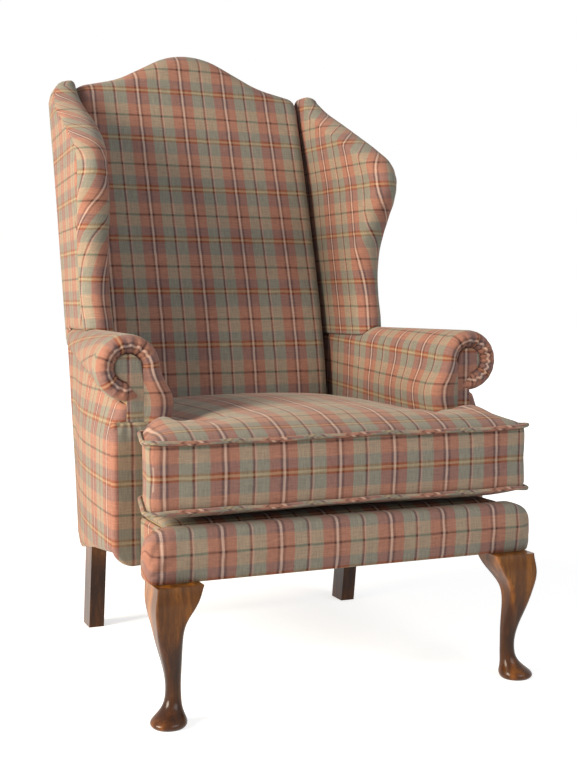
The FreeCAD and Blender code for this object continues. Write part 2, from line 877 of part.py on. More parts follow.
def board_space(side, grow):
    # The space that the arm rail and the stump need inside the scroll.
    front = size("scroll_centre_front")
    rear = size("scroll_centre_rear") + 3
    half_front = size("arm_rail_width_front") / 2 + grow
    half_rear = size("arm_rail_width_rear") / 2 + grow
    over = 1.2
    far = front + over * (rear - front)
    half_far = half_front + over * (half_rear - half_front)
    corners = [
        (front - half_front, 0, 0),
        (front + half_front, 0, 0),
        (far + half_far, over * arm_rail_length, 0),
        (far - half_far, over * arm_rail_length, 0),
    ]
    board = prism(rounded_loop(corners, level(-grow, side)),
                  Vector(0, 0, size("arm_rail_thickness") + 2 * grow))
    board.Placement = arm_rail_placement()
    start = stump_inner - grow if side > 0 else -stump_outer - grow
    post = Part.makeBox(size("stump_thickness") + 2 * grow, size("stump_depth") + 1 + grow,
                        arm_rail_bottom + 4, Vector(start, arm_front - 1, 0))
    return board.fuse(post)


def make_arms():
    for word, side in SIDES:
        pad = arm_solid(side, 0.0)
        pad = pad.cut(behind_plane(pad_depth)).cut(board_space(side, GAP))
        feature("inside_arm_" + word, pad)
        make_outside_arm(word, side)
        make_facing(word, side)
        make_front_post_cover(word, side)


def make_outside_arm(word, side):
    # The outer panel hangs from under the scroll to the hem and curves in to the back.
    skin = size("skin_thickness")
    front = arm_front + GAP
    wide = size("side_half_width_front")
    rear = size("side_half_width_rear")
    hem_fall = size("hem_front_height") - size("hem_rear_height")
    hem_run = size("hem_rear_depth") - arm_front
    stations = ((front, wide, 18), (40, wide - 7, 13), (180, wide - 25, 6), (300, rear + 1, 0),
                (scroll_end + 25, rear, 0))
    wires = []
    for y, outer, lean in stations:
        share = min((y - arm_front) / hem_run, 1.0)
        hem = size("hem_front_height") - share * hem_fall
        x, z, radius = scroll_at(y)
        rise = (y - arm_front) / (scroll_end - arm_front)
        top = z - radius - 4 + rise * 25.5
        corners = [
            (outer, hem, 0),
            (outer, 395, 0),
            (outer - lean, top, 0),
            (outer - lean - skin, top, 0),
            (outer - skin, 395, 0),
            (outer - skin, hem, 0),
        ]
        wires.append(rounded_loop(corners, across(side)(y)))
    panel = loft(wires)
    panel = panel.cut(behind_plane(0)).cut(arm_saddle(side))
    feature("outside_arm_" + word, panel)


def make_facing(word, side):
    # The flat inset panel of the scroll front, with its neck running down to the post.
    x, z, radius = scroll_at(arm_front)
    thick = size("facing_thickness")
    small = size("facing_radius")
    neck = size("facing_neck_width")
    low = size("front_post_top_height") + GAP
    y = arm_front - GAP - thick
    disc = Part.makeCylinder(small, thick, Vector(side * x, y, z), Vector(0, 1, 0))
    start = x - small if side > 0 else -(x - small) - neck
    strip = Part.makeBox(neck, thick, z - low, Vector(start, y, low))
    feature("arm_facing_" + word, disc.fuse(strip).removeSplitter())


def make_front_post_cover(word, side):
    # The padded front of the arm post, with a rounded lower corner.
    wide = size("side_half_width_front")
    low = size("seat_base_height") - 6
    notch = rail_top + 2
    top = size("front_post_top_height")
    near = size("arm_inner_high")
    inside = rail_outer + 2 * GAP
    corners = [
        (inside, low, 0),
        (wide, low, size("front_post_corner")),
        (wide, top, 12),
        (near, top, 4),
        (near, notch, 0),
        (inside, notch, 0),
    ]
    y = arm_front - GAP
    wire = rounded_loop(corners, across(side)(y))
    feature("front_post_cover_" + word,
            prism(wire, Vector(0, -size("front_post_pad"), 0)))


def make_front_border():
    # A padded roll along the front rail. It covers the rail's face, top and ends.
    half = size("border_half_length")
    low = size("seat_base_height") - GAP
    top = size("border_top_height")
    pad = size("border_padding")
    front = size("front_rail_front") - pad
    rear = size("front_rail_front") + pad + 12
    corners = [
        (-half, front, 12),
        (half, front, 12),
        (half, rear, 10),
        (-half, rear, 10),
    ]
    solid = prism(rounded_loop(corners, level(low)), Vector(0, 0, top - low))
    soft = [edge for edge in solid.Edges
            if edge.BoundBox.ZMin > top - 1 and edge.BoundBox.YMin < rear - 1]
    solid = solid.makeFillet(8, soft)
    rail = Part.makeBox(2 * rail_outer + 2 * GAP, 60, rail_top - low + 8.5,
                        Vector(-rail_outer - GAP, size("front_rail_front") - GAP, low - 1))
    feature("front_border", solid.cut(rail))


def make_border_returns():
    # Thin covered pads carry the border round the corner, as far as the arm posts.
    start = size("front_rail_front") + size("border_padding") + 12 + GAP
    end = arm_front - size("front_post_pad") - 2 * GAP
    returns = []
    for word, side in SIDES:
        near = rail_outer + GAP
        x = near if side > 0 else -near - 6
        returns.append(Part.makeBox(6, end - start, deck_bottom - size("hem_front_height"),
                                    Vector(x, start, size("hem_front_height"))))
    feature("border_returns", Part.makeCompound(returns))


# Seat cushion. Its cover is boxed and T-shaped, and is crowned above and below its seams.
# Near each seam a band of the box is drawn in by a share of what its middle is.
BOX_SEAM_BAND = 14
BOX_SHOULDER = 0.6


def cushion_plan(inset, corner):
    cord = size("piping_diameter") + GAP
    # The ears' sides lean in towards the rear, and are set in square to themselves.
    ear_length = size("cushion_ear_rear") - size("cushion_front")
    lean = (size("cushion_half_width") - size("cushion_ear_rear_half_width")) / ear_length
    slant = math.sqrt(1 + lean ** 2)
    wide = size("cushion_half_width") - (cord + inset) * (slant + lean)
    ear = size("cushion_ear_rear_half_width") - (cord + inset) * (slant - lean)
    narrow = size("arm_inner_low") - GAP - 0.7 - cord - inset
    front = size("cushion_front") + cord + inset
    step = size("cushion_ear_rear") - cord - inset
    rear = size("cushion_rear") - cord - inset
    hollow = max(corner - 8, 6)
    return [
        (-wide, front, corner),
        (wide, front, corner),
        (ear, step, corner),
        (narrow, step, hollow),
        (narrow, rear, corner),
        (-narrow, rear, corner),
        (-narrow, step, hollow),
        (-ear, step, corner),
    ]


def cushion_solid(skin):
    # Level sections from the belly to the crown. Between the seams the box is drawn in.
    low = size("cushion_low_seam")
    high = size("cushion_high_seam")
    middle = (low + high) / 2
    draw = size("cushion_draw_in")
    belly = size("cushion_bottom_height")
    crown = size("cushion_crown_height")
    round_corner = size("cushion_corner")
    stations = (
        (belly + skin, 52),
        (low - 0.55 * (low - belly), 24),
        (low - 0.2 * (low - belly), 6),
        (low, 0),
        (low + BOX_SEAM_BAND, draw * BOX_SHOULDER),
        (middle, draw),
        (high - BOX_SEAM_BAND, draw * BOX_SHOULDER),
        (high, 0),
        (high + 0.3 * (crown - high), 6),
        (high + 0.65 * (crown - high), 22),
        (high + 0.9 * (crown - high), 40),
        (crown - skin, 54),
    )
    wires = []
    for z, inset in stations:
        plan = cushion_plan(inset + skin, round_corner * (1 - (inset + skin) / 100))
        wires.append(rounded_loop(plan, level(z)))
    return loft(wires)


def make_cushion():
    skin = size("cushion_cover")
    inner = cushion_solid(skin)
    feature("cushion_cover", cushion_solid(0).cut(inner))
    feature("cushion_filling", cushion_solid(skin + 2 * GAP))
    radius = size("piping_diameter") / 2
    out = -radius - GAP
    for word, height in (("bottom", size("cushion_low_seam")), ("top", size("cushion_high_seam"))):
        path = rounded_loop(cushion_plan(out, size("cushion_corner") + radius), level(height))
        start = path.Edges[0].valueAt(path.Edges[0].FirstParameter)
        along = path.Edges[0].tangentAt(path.Edges[0].FirstParameter)
        ring = Part.Wire(Part.makeCircle(radius, start, along))
        feature("cushion_piping_" + word, path.makePipeShell([ring], True, False))


def make_cushion_zip():
    # A zip along the rear box lets the filling out. Its slider runs along the tape.
    low = size("cushion_low_seam")
    high = size("cushion_high_seam")
    middle = (low + high) / 2
    cord = size("piping_diameter") + GAP
    # The tape's edges lie on the box where it starts to swell from its drawn-in middle.
    draw = size("cushion_draw_in")
    swell = draw * (1 - BOX_SHOULDER) * (size("zip_width") / 2) / (high - BOX_SEAM_BAND - middle)
    face = size("cushion_rear") - cord - draw + swell + GAP
    tape = box("cushion_zip_tape", "Sizes.zip_length", "Sizes.sheet_thickness",
               "Sizes.zip_width",
               at(-size("zip_length") / 2, face, middle - size("zip_width") / 2))
    keep("cushion_zip_tape", tape)
    slider_y = face + size("sheet_thickness") + GAP
    body = Part.makeBox(12, 2.4, 8, Vector(-size("zip_length") / 2 + 4, slider_y, middle - 4))
    tab = Part.makeBox(6, 1.2, 22, Vector(-size("zip_length") / 2 + 7, slider_y + 2.4, middle - 22))
    feature("zip_slider", body.fuse(tab).removeSplitter())


make_front_rail()
make_side_rails()
make_rear_rail()
make_rear_legs()
make_front_legs()
make_studs()
make_corner_blocks()
make_arm_stumps()
make_arm_rails()
make_uprights()
make_crest_rail()
make_stay_rail()
make_back_webbing()
make_springs()
make_seat_support()
make_bottom_cloth()
make_inside_back()
make_outside_back()
make_wings()
make_arms()
make_front_border()
make_border_returns()
make_cushion()
make_cushion_zip()
doc.recompute()

# Move every piece, so that the origin is on the floor under the middle of the whole chair.
boxes = [piece.Shape.optimalBoundingBox(True, False) for piece in pieces.values()]
middle_y = (min(each.YMin for each in boxes) + max(each.YMax for each in boxes)) / 2
for piece in pieces.values():
    if piece.TypeId == "Part::Cut":
        for part in (piece.Base, piece.Tool):
            part.Placement.Base = part.Placement.Base - Vector(0, middle_y, 0)
    else:
        piece.Placement.Base = piece.Placement.Base - Vector(0, middle_y, 0)
doc.recompute()

for obj in doc.Objects:
    if "Invalid" in obj.State or "Error" in obj.State:
        raise RuntimeError(f"{obj.Name} did not build: {obj.State}")
os.makedirs("parts", exist_ok=True)
for name, piece in pieces.items():
    shape = piece.Shape
    if shape.isNull() or not shape.isValid() or shape.Volume <= 0:
        raise RuntimeError(f"{name} is not a valid solid")
    shape.exportStep(f"parts/{name}.step")
    print(f"{name}: {len(shape.Solids)} solid, {shape.Volume / 1000:.1f} cm3")
print(f"moved forward by {middle_y:.3f} mm, {len(pieces)} pieces")
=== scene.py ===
# %% [markdown]
# # A fireside wing chair, dressed for its portrait
# The chair comes from the workshop as a frame: every board, rail and spring is in its place,
# and each upholstered part is there as a plain block. This lesson dresses it. Each block is
# replaced by a sewn and stuffed piece, and the wood, steel and jute get their finishes.
# The frame itself is never moved, so all that we make has to fit it.

import json
import math

import bmesh
import bpy
import numpy as np
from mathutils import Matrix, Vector


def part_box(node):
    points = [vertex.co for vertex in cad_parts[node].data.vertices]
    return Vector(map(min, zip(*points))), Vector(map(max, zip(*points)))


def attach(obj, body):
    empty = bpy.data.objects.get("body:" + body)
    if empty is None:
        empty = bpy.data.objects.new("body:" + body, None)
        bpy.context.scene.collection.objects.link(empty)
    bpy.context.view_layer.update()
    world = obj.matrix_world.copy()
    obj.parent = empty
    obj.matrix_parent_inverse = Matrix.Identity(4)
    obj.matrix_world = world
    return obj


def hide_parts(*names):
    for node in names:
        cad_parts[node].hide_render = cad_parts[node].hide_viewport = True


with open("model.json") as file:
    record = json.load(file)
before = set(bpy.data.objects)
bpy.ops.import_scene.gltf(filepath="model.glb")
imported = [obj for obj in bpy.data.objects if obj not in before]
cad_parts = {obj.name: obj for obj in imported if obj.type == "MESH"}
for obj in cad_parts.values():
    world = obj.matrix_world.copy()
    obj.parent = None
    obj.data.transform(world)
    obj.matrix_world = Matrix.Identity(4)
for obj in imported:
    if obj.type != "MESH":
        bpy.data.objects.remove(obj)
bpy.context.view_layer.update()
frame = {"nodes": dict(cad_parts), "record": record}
print("nodes:", len(frame["nodes"]))

# %% [markdown]
# ## Measuring like an upholsterer
# A chair is set out in millimetres from a line on the drawing board. Here that line crosses the
# seat a little behind the arm fronts, and the workshop gives the arm fronts' place. All makers
# below think in those millimetres, and one function turns them into Blender's metres.

# %% Setting out
ARM_FRONT = -138.0
SET_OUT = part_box("inside_arm_left")[0].y * 1000 - ARM_FRONT
SIDES = (("left", -1), ("right", 1))


def metres(points):
    points = np.array(points, float)
    points[..., 1] += SET_OUT
    return points / 1000


print("setting-out line at y =", round(SET_OUT, 1), "mm")

# %% [markdown]
# The back leans. Two small functions change between the drawing and the leaning back: depth is
# measured forward from its rear face, and height up its slope from the hem.

# %% The leaning back
RAKE = math.radians(15.6)
HEM_DEPTH, HEM_HEIGHT = 277.0, 165.0
PAD_PLANE = 34.0


def back_point(depth, height):
    y = HEM_DEPTH + height * np.sin(RAKE) - depth * np.cos(RAKE)
    z = HEM_HEIGHT + height * np.cos(RAKE) + depth * np.sin(RAKE)
    return y, z


def back_plane(z, depth=0.0):
    return HEM_DEPTH + (z - HEM_HEIGHT) * math.tan(RAKE) - depth / math.cos(RAKE)


# %% [markdown]
# ## The cloth
# The cover is a wool tartan in a balanced twill. A tartan is the same list of stripes in the warp,
# which runs up the piece, and in the weft, which runs across it, and every crossing shows both
# yarns. So we write two colour ramps, one for each direction, and let a fine diagonal twill
# choose between them. It reads the UV map "cloth", which every cover carries in millimetres,
# as if the panel had been cut from the roll.

# %% A small kit for materials
def new_material(name):
    material = bpy.data.materials.new(name)
    material.use_nodes = True
    tree = material.node_tree
    return material, tree, tree.nodes["Principled BSDF"]


def feed(tree, made, inputs):
    # The output of another node is linked, and a plain value is written on the input itself.
    for key, value in inputs.items():
        if isinstance(value, bpy.types.NodeSocket):
            tree.links.new(value, made.inputs[key])
        else:
            made.inputs[key].default_value = value


def node(tree, kind, inputs=None, **settings):
    made = tree.nodes.new(kind)
    for key, value in settings.items():
        setattr(made, key, value)
    feed(tree, made, inputs or {})
    return made


def maths(tree, operation, first, second=0.0, third=0.0):
    made = node(tree, "ShaderNodeMath", {0: first, 1: second, 2: third}, operation=operation)
    return made.outputs[0]


def mix(tree, share, first, second, blend="MIX"):
    made = node(tree, "ShaderNodeMix", {0: share, 6: first, 7: second}, data_type="RGBA",
                blend_type=blend)
    return made.outputs[2]


def ramp(tree, position, stops, interpolation="LINEAR"):
    made = node(tree, "ShaderNodeValToRGB", {"Fac": position})
    band = made.color_ramp
    band.interpolation = interpolation
    while len(band.elements) < len(stops):
        band.elements.new(0.5)
    for element, (place, colour) in zip(band.elements, stops):
        element.position = place
        element.color = (*colour, 1)
    return made.outputs["Color"]


def noise(tree, vector, scale, detail=2.0, roughness=0.5):
    made = node(tree, "ShaderNodeTexNoise", {"Vector": vector, "Scale": scale, "Detail": detail,
                                             "Roughness": roughness})
    return made.outputs["Fac"]


def bump(tree, height, strength, distance, normal=None):
    inputs = {"Height": height, "Strength": strength, "Distance": distance}
    if normal is not None:
        inputs["Normal"] = normal
    return node(tree, "ShaderNodeBump", inputs).outputs["Normal"]


print("material kit ready")

# %% Yarns and stripes
SETT = 92.0  # the tartan repeats after this many millimetres, both ways
SAGE, TERRACOTTA = (0.300, 0.325, 0.240), (0.365, 0.130, 0.095)
CREAM, DARK_RED = (0.780, 0.540, 0.440), (0.095, 0.006, 0.014)
PALE, MAROON = (0.540, 0.370, 0.290), (0.065, 0.006, 0.014)
PINK_BEIGE, BLUE_GREY = (0.480, 0.265, 0.175), (0.250, 0.195, 0.170)
STRAW, ORANGE_BROWN = (0.480, 0.320, 0.170), (0.240, 0.075, 0.022)
DARK_GREEN = (0.085, 0.070, 0.048)

# Each stripe is (width, yarn). The widths of a list are scaled together to one repeat.
WARP = ((22, SAGE), (3.8, MAROON), (2.4, PALE), (21.8, SAGE), (18.7, TERRACOTTA), (4.2, DARK_RED),
        (4.4, CREAM), (4.2, DARK_RED), (16.5, TERRACOTTA))
WEFT = ((3.6, ORANGE_BROWN), (4.4, STRAW), (3.6, ORANGE_BROWN), (17.4, BLUE_GREY),
        (21.5, PINK_BEIGE), (2.8, DARK_GREEN), (21.5, PINK_BEIGE), (23.2, BLUE_GREY))
EDGE_SOFT, EDGE_SHARE = 1.6, 0.22  # how wide a stripe's soft edge may be, and its share of the stripe


def stripes(tree, position, yarns):
    total = sum(width for width, yarn in yarns)
    stops = []
    reached = 0.0
    for width, yarn in yarns:
        soft = min(EDGE_SOFT, width * EDGE_SHARE)
        stops.append(((reached + soft) / total, yarn))
        reached += width
        stops.append(((reached - soft) / total, yarn))
    return ramp(tree, position, stops)


print("stripes in the warp:", len(WARP), "and in the weft:", len(WEFT))

# %% Tartan wool
def streaks(tree, cloth, direction):
    # Yarn is spun and dyed a little unevenly, which shows as fine streaks along it.
    stretched = node(tree, "ShaderNodeMapping", {"Vector": cloth, "Scale": direction})
    level = noise(tree, stretched.outputs[0], 1.0, 2.0)
    return ramp(tree, level, ((0.3, (0.58, 0.58, 0.62)), (0.7, (1.0, 1.0, 1.0))))


ALONG_WARP, ALONG_WEFT = (0.6, 0.045, 1), (0.045, 0.6, 1)
TWILL_PITCH, WANDER = 2.6, 1.6


def make_tartan():
    material, tree, shader = new_material("tartan_wool")
    cloth = node(tree, "ShaderNodeUVMap", uv_map="cloth").outputs["UV"]
    wander = noise(tree, cloth, 0.05, 1.0)
    apart = node(tree, "ShaderNodeSeparateXYZ", {0: cloth}).outputs
    across = maths(tree, "ADD", apart[0], maths(tree, "MULTIPLY", wander, WANDER))
    upward = maths(tree, "ADD", apart[1], maths(tree, "MULTIPLY", wander, WANDER))
    warp = stripes(tree, maths(tree, "FRACT", maths(tree, "DIVIDE", across, SETT)), WARP)
    weft = stripes(tree, maths(tree, "FRACT", maths(tree, "DIVIDE", upward, SETT)), WEFT)
    warp = mix(tree, 0.85, warp, streaks(tree, cloth, ALONG_WARP), "MULTIPLY")
    weft = mix(tree, 0.85, weft, streaks(tree, cloth, ALONG_WEFT), "MULTIPLY")
    # The twill shows as fine diagonal ribs.
    diagonal = maths(tree, "ADD", maths(tree, "MULTIPLY", across, TWILL_PITCH),
                     maths(tree, "MULTIPLY", upward, TWILL_PITCH))
    ribs = maths(tree, "SINE", diagonal)
    fuzz = noise(tree, cloth, 0.8, 3.0, 0.65)
    share = maths(tree, "MULTIPLY_ADD", ribs, 0.16,
                  maths(tree, "MULTIPLY_ADD", fuzz, 0.9, 0.05))
    colour = mix(tree, share, warp, weft)
    # Wool is never dyed quite evenly, and its nap catches some light.
    mottle = noise(tree, cloth, 0.35, 3.0)
    shade = ramp(tree, mottle, ((0.3, (0.82, 0.83, 0.86)), (0.7, (1.0, 1.0, 1.0))))
    colour = mix(tree, 0.75, colour, shade, "MULTIPLY")
    weave = bump(tree, ribs, 0.22, 0.0004)
    nap = bump(tree, fuzz, 0.35, 0.0009, weave)
    feed(tree, shader, {"Base Color": colour, "Roughness": 0.92, "Specular IOR Level": 0.18,
                        "Sheen Weight": 0.22, "Sheen Roughness": 0.45,
                        "Sheen Tint": (1.0, 0.86, 0.74, 1), "Normal": nap})
    return material


tartan = make_tartan()
print("tartan repeats every", SETT, "mm")

# %% [markdown]
# ## Wood, metal and the hidden linings
# The legs are beech, stained walnut brown and polished, with a fine grain that runs down the leg.
# Over the stain they carry painted light and shade by height: full colour at the knee, and
# painted shade darkest low on the shin. The inner frame is raw beech. Springs, studs and clips
# are steel, the linings are jute and black cotton.

# %% Stained and raw beech
def wood(name, tones, grain, gloss, direction, painted_shade):
    material, tree, shader = new_material(name)
    place = node(tree, "ShaderNodeTexCoord").outputs["Object"]
    stretched = node(tree, "ShaderNodeMapping", {"Vector": place, "Scale": direction})
    rings = noise(tree, stretched.outputs[0], grain, 5.0, 0.6)
    pores = noise(tree, stretched.outputs[0], grain * 9, 2.0)
    colour = ramp(tree, rings, tones)
    colour = mix(tree, 0.35, colour, ramp(tree, pores, ((0.35, (0.45, 0.4, 0.36)),
                                                        (0.5, (1.0, 1.0, 1.0)))), "MULTIPLY")
    # Painted light and shade by height: full colour at the knee, darkest low on the shin, a little
    # lighter at the foot.
    if painted_shade:
        height = node(tree, "ShaderNodeSeparateXYZ", {0: place}).outputs[2]
        cloud = noise(tree, place, 16, 3.0)
        level = maths(tree, "MULTIPLY_ADD", cloud, 0.06, maths(tree, "SUBTRACT", height, 0.03))
        painted_tone = ramp(tree, maths(tree, "DIVIDE", level, 0.22), painted_shade)
        colour = mix(tree, 0.9, colour, painted_tone, "MULTIPLY")
        feed(tree, shader, {"Specular IOR Level": 0.15, "Coat Weight": 0.22, "Coat Roughness": 0.16})
    feed(tree, shader, {"Base Color": colour, "Roughness": gloss,
                        "Normal": bump(tree, pores, 0.12, 0.0003)})
    return material


LEG_TONES = ((0.25, (0.040, 0.012, 0.002)), (0.5, (0.125, 0.044, 0.006)), (0.72, (0.34, 0.130, 0.018)))
# Painted light and shade for the legs, by height above the floor.
LEG_PAINTED_SHADE = ((0.0, (0.60, 0.50, 0.45)), (0.12, (0.34, 0.26, 0.20)), (0.30, (0.16, 0.11, 0.08)),
               (0.50, (0.34, 0.25, 0.18)), (0.68, (1.0, 0.93, 0.85)), (0.85, (1.0, 0.97, 0.93)))
stained_beech = wood("stained_beech", LEG_TONES, 55, 0.3, (1, 1, 0.09), LEG_PAINTED_SHADE)
BEECH_TONES = ((0.3, (0.42, 0.27, 0.15)), (0.7, (0.62, 0.44, 0.27)))
raw_beech = wood("raw_beech", BEECH_TONES, 60, 0.6, (0.12, 0.12, 1), None)
print("wood finishes:", stained_beech.name, raw_beech.name)

# %% Steel, brass, jute, black cloth and foam
def metal(name, colour, roughness):
    material, tree, shader = new_material(name)
    place = node(tree, "ShaderNodeTexCoord").outputs["Object"]
    tarnish = noise(tree, place, 90, 4.0)
    dark = tuple(part * 0.6 for part in colour)
    feed(tree, shader, {"Base Color": ramp(tree, tarnish, ((0.35, dark), (0.6, colour))),
                        "Metallic": 1.0,
                        "Roughness": maths(tree, "MULTIPLY_ADD", tarnish, 0.25, roughness),
                        "Normal": bump(tree, tarnish, 0.08, 0.0004)})
    return material


def plain_weave(name, light, dark, pitch):
    material, tree, shader = new_material(name)
    cloth = node(tree, "ShaderNodeUVMap", uv_map="cloth").outputs["UV"]
    apart = node(tree, "ShaderNodeSeparateXYZ", {0: cloth}).outputs
    one = maths(tree, "SINE", maths(tree, "MULTIPLY", apart[0], 2 * math.pi / pitch))
    other = maths(tree, "SINE", maths(tree, "MULTIPLY", apart[1], 2 * math.pi / pitch))
    threads = maths(tree, "MULTIPLY_ADD", maths(tree, "MULTIPLY", one, other), 0.4, 0.5)
    slub = noise(tree, cloth, 0.6, 3.0)
    height = maths(tree, "MULTIPLY_ADD", slub, 0.5, maths(tree, "MULTIPLY", threads, 0.7))
    feed(tree, shader, {"Base Color": ramp(tree, height, ((0.3, dark), (0.75, light))),
                        "Roughness": 0.95, "Normal": bump(tree, height, 0.5, 0.0008)})
    return material


def make_foam():
    material, tree, shader = new_material("foam")
    place = node(tree, "ShaderNodeTexCoord").outputs["Object"]
    cells = node(tree, "ShaderNodeTexVoronoi", {"Vector": place, "Scale": 700.0}).outputs[0]
    tones = ((0.1, (0.62, 0.5, 0.3)), (0.6, (0.82, 0.72, 0.5)))
    feed(tree, shader, {"Base Color": ramp(tree, cells, tones), "Roughness": 0.95,
                        "Normal": bump(tree, cells, 0.5, 0.001)})
    return material


FINISHES = {
    "tartan_wool": tartan,
    "stained_beech": stained_beech,
    "raw_beech": raw_beech,
    "spring_steel": metal("spring_steel", (0.42, 0.43, 0.45), 0.3),
    "zinc_steel": metal("zinc_steel", (0.66, 0.67, 0.68), 0.35),
    "brass_zip": metal("brass_zip", (0.72, 0.52, 0.22), 0.25),
    "jute": plain_weave("jute", (0.52, 0.38, 0.2), (0.28, 0.19, 0.09), 1.6),
    "black_cloth": plain_weave("black_cloth", (0.035, 0.035, 0.037), (0.01, 0.01, 0.011), 0.9),
    "foam": make_foam(),
}
print("finishes:", ", ".join(sorted(FINISHES)))

# %% [markdown]
# The boards, springs and legs of the frame are right as they are, so they keep their meshes and
# only get a finish. The record says which slot each node belongs to.

# %% Finish the nodes that stay
slots = {entry["node"]: entry["material_slot"] for entry in frame["record"]["subparts"]}
for name, part in frame["nodes"].items():
    finish = FINISHES.get(slots.get(name, ""))
    if finish:
        part.data.materials.clear()
        part.data.materials.append(finish)
print("nodes with a finish:", len(slots))

# %% [markdown]
# ## From rows of points to a sewn piece
# Nearly every cover is a grid: rows of points with the cloth laid along them. One helper turns a
# grid into a mesh and writes the cloth's own coordinates beside it, so that the stripes run as on
# the roll. Loops that close on themselves carry one more cloth column than they have points.

# %% Grid helpers
def run_lengths(points, axis):
    steps = np.linalg.norm(np.diff(points, axis=axis), axis=-1)
    zero = np.zeros_like(np.take(steps, [0], axis=axis))
    return np.concatenate([zero, np.cumsum(steps, axis=axis)], axis=axis)


def closed_round(rows):
    # The same rows, each with its first point again at the end.
    return np.concatenate([rows, rows[:, :1]], axis=1)


def lay_cloth(across, upward, phase=(0.0, 0.0)):
    # The place of each point on the roll. The phase slides the panel over the stripes.
    return np.stack([across + phase[0], upward + phase[1]], axis=-1)


def ring_faces(rings, count, round_again=False):
    # The quads between rings of points, and the (ring, column) of the cloth at each corner.
    faces, places = [], []
    for i in range(rings if round_again else rings - 1):
        n = (i + 1) % rings
        for j in range(count):
            k = (j + 1) % count
            faces.append((i * count + j, i * count + k, n * count + k, n * count + j))
            places += [(i, j), (i, j + 1), (i + 1, j + 1), (i + 1, j)]
    return faces, places


def finish_piece(piece, finish="tartan_wool", body="frame"):
    piece.data.materials.append(FINISHES[finish])
    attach(piece, body)
    return piece


def mesh_piece(name, points, faces, cloth, finish="tartan_wool", body="frame"):
    # cloth holds one (across, upward) pair in millimetres for each corner of each face.
    mesh = bpy.data.meshes.new(name)
    mesh.from_pydata(metres(points).tolist(), [], faces)
    layer = mesh.uv_layers.new(name="cloth")
    layer.data.foreach_set("uv", np.array(cloth, float).ravel())
    tidy = bmesh.new()
    tidy.from_mesh(mesh)
    bmesh.ops.recalc_face_normals(tidy, faces=tidy.faces)
    tidy.to_mesh(mesh)
    tidy.free()
    mesh.polygons.foreach_set("use_smooth", [True] * len(mesh.polygons))
    piece = bpy.data.objects.new(name, mesh)
    bpy.context.scene.collection.objects.link(piece)
    return finish_piece(piece, finish, body)


def loop_piece(name, rows, cloth, cap=(True, True), **kind):
    # rows is (stations, points, 3), and each station is a closed loop.
    stations, count = rows.shape[:2]
    faces, places = ring_faces(stations, count)
    corners = [cloth[place] for place in places]
    for end, wanted in zip((0, stations - 1), cap):
        if wanted:
            faces.append(tuple(end * count + j for j in range(count)))
            corners += [cloth[end, j] for j in range(count)]
    return mesh_piece(name, rows.reshape(-1, 3), faces, corners, **kind)


def soft_slab(name, grid, thickness, edge, outward, cloth=None, crown=0.0, **kind):
    # A padded panel. Its face rounds down to the seam over the last few millimetres.
    across = run_lengths(grid, 1)
    upward = run_lengths(grid, 0)
    near = np.minimum(np.minimum(across, across[:, -1:] - across),
                      np.minimum(upward, upward[-1:] - upward))
    normal = np.cross(np.gradient(grid, axis=1), np.gradient(grid, axis=0))
    length = np.linalg.norm(normal, axis=-1, keepdims=True)
    normal = normal / np.maximum(length, 1e-9)
    normal *= np.sign(np.sum(normal * np.array(outward), axis=-1, keepdims=True) + 1e-9)
    share = np.clip(near / edge, 0, 1)
    drop = edge * (1 - np.sqrt(1 - (1 - share) ** 2))
    swell = crown * (1 - np.exp(-near / 60.0))
    face = grid + normal * (swell - drop)[..., None]
    back = grid - normal * max(thickness, edge + 0.4)
    if cloth is None:
        cloth = lay_cloth(across, upward)
    rows, columns = grid.shape[:2]
    points = np.concatenate([face.reshape(-1, 3), back.reshape(-1, 3)])
    total = rows * columns
    faces, corners = [], []
    for i in range(rows - 1):
        for j in range(columns - 1):
            quad = (i * columns + j, i * columns + j + 1, (i + 1) * columns + j + 1,
                    (i + 1) * columns + j)
            pairs = [cloth[i, j], cloth[i, j + 1], cloth[i + 1, j + 1], cloth[i + 1, j]]
            faces.append(quad)
            corners += pairs
            faces.append(tuple(total + corner for corner in reversed(quad)))
            corners += pairs[::-1]
    rim = [(0, j) for j in range(columns)] + [(i, columns - 1) for i in range(1, rows)]
    rim += [(rows - 1, j) for j in range(columns - 2, -1, -1)]
    rim += [(i, 0) for i in range(rows - 2, 0, -1)]
    for number, (i, j) in enumerate(rim):
        m, n = rim[(number + 1) % len(rim)]
        faces.append((i * columns + j, total + i * columns + j, total + m * columns + n,
                      m * columns + n))
        corners += [cloth[i, j], cloth[i, j], cloth[m, n], cloth[m, n]]
    return mesh_piece(name, points, faces, corners, **kind)


def rounded_line(corners, closed=False, turn=8):
    # A line with rounded corners, as points. Each corner is (a, b, radius).
    points = []
    count = len(corners)
    for number, (a, b, radius) in enumerate(corners):
        here = np.array((a, b), float)
        if radius <= 0 or (not closed and number in (0, count - 1)):
            points.append(here)
            continue
        before = np.array(corners[number - 1][:2], float) - here
        after = np.array(corners[(number + 1) % count][:2], float) - here
        before /= np.linalg.norm(before)
        after /= np.linalg.norm(after)
        half = math.acos(np.clip(before @ after, -1, 1)) / 2
        if half > math.pi / 2 - 0.001:
            # The line runs straight on here, so there is nothing to round.
            points.append(here)
            continue
        reach = radius / math.tan(half)
        centre = here + (before + after) / np.linalg.norm(before + after) * radius / math.sin(half)
        start, end = here + before * reach - centre, here + after * reach - centre
        for share in np.linspace(0, 1, turn):
            spoke = start * (1 - share) + end * share
            points.append(centre + spoke / np.linalg.norm(spoke) * radius)
    return np.array(points)


def even_points(line, count, closed=False):
    # The same line, as points at equal steps.
    if closed:
        line = np.vstack([line, line[:1]])
    reached = run_lengths(line, 0)
    marks = np.linspace(0, reached[-1], count + closed)[:count]
    return np.stack([np.interp(marks, reached, line[:, k]) for k in range(line.shape[1])], axis=1)


print("grid helpers ready")

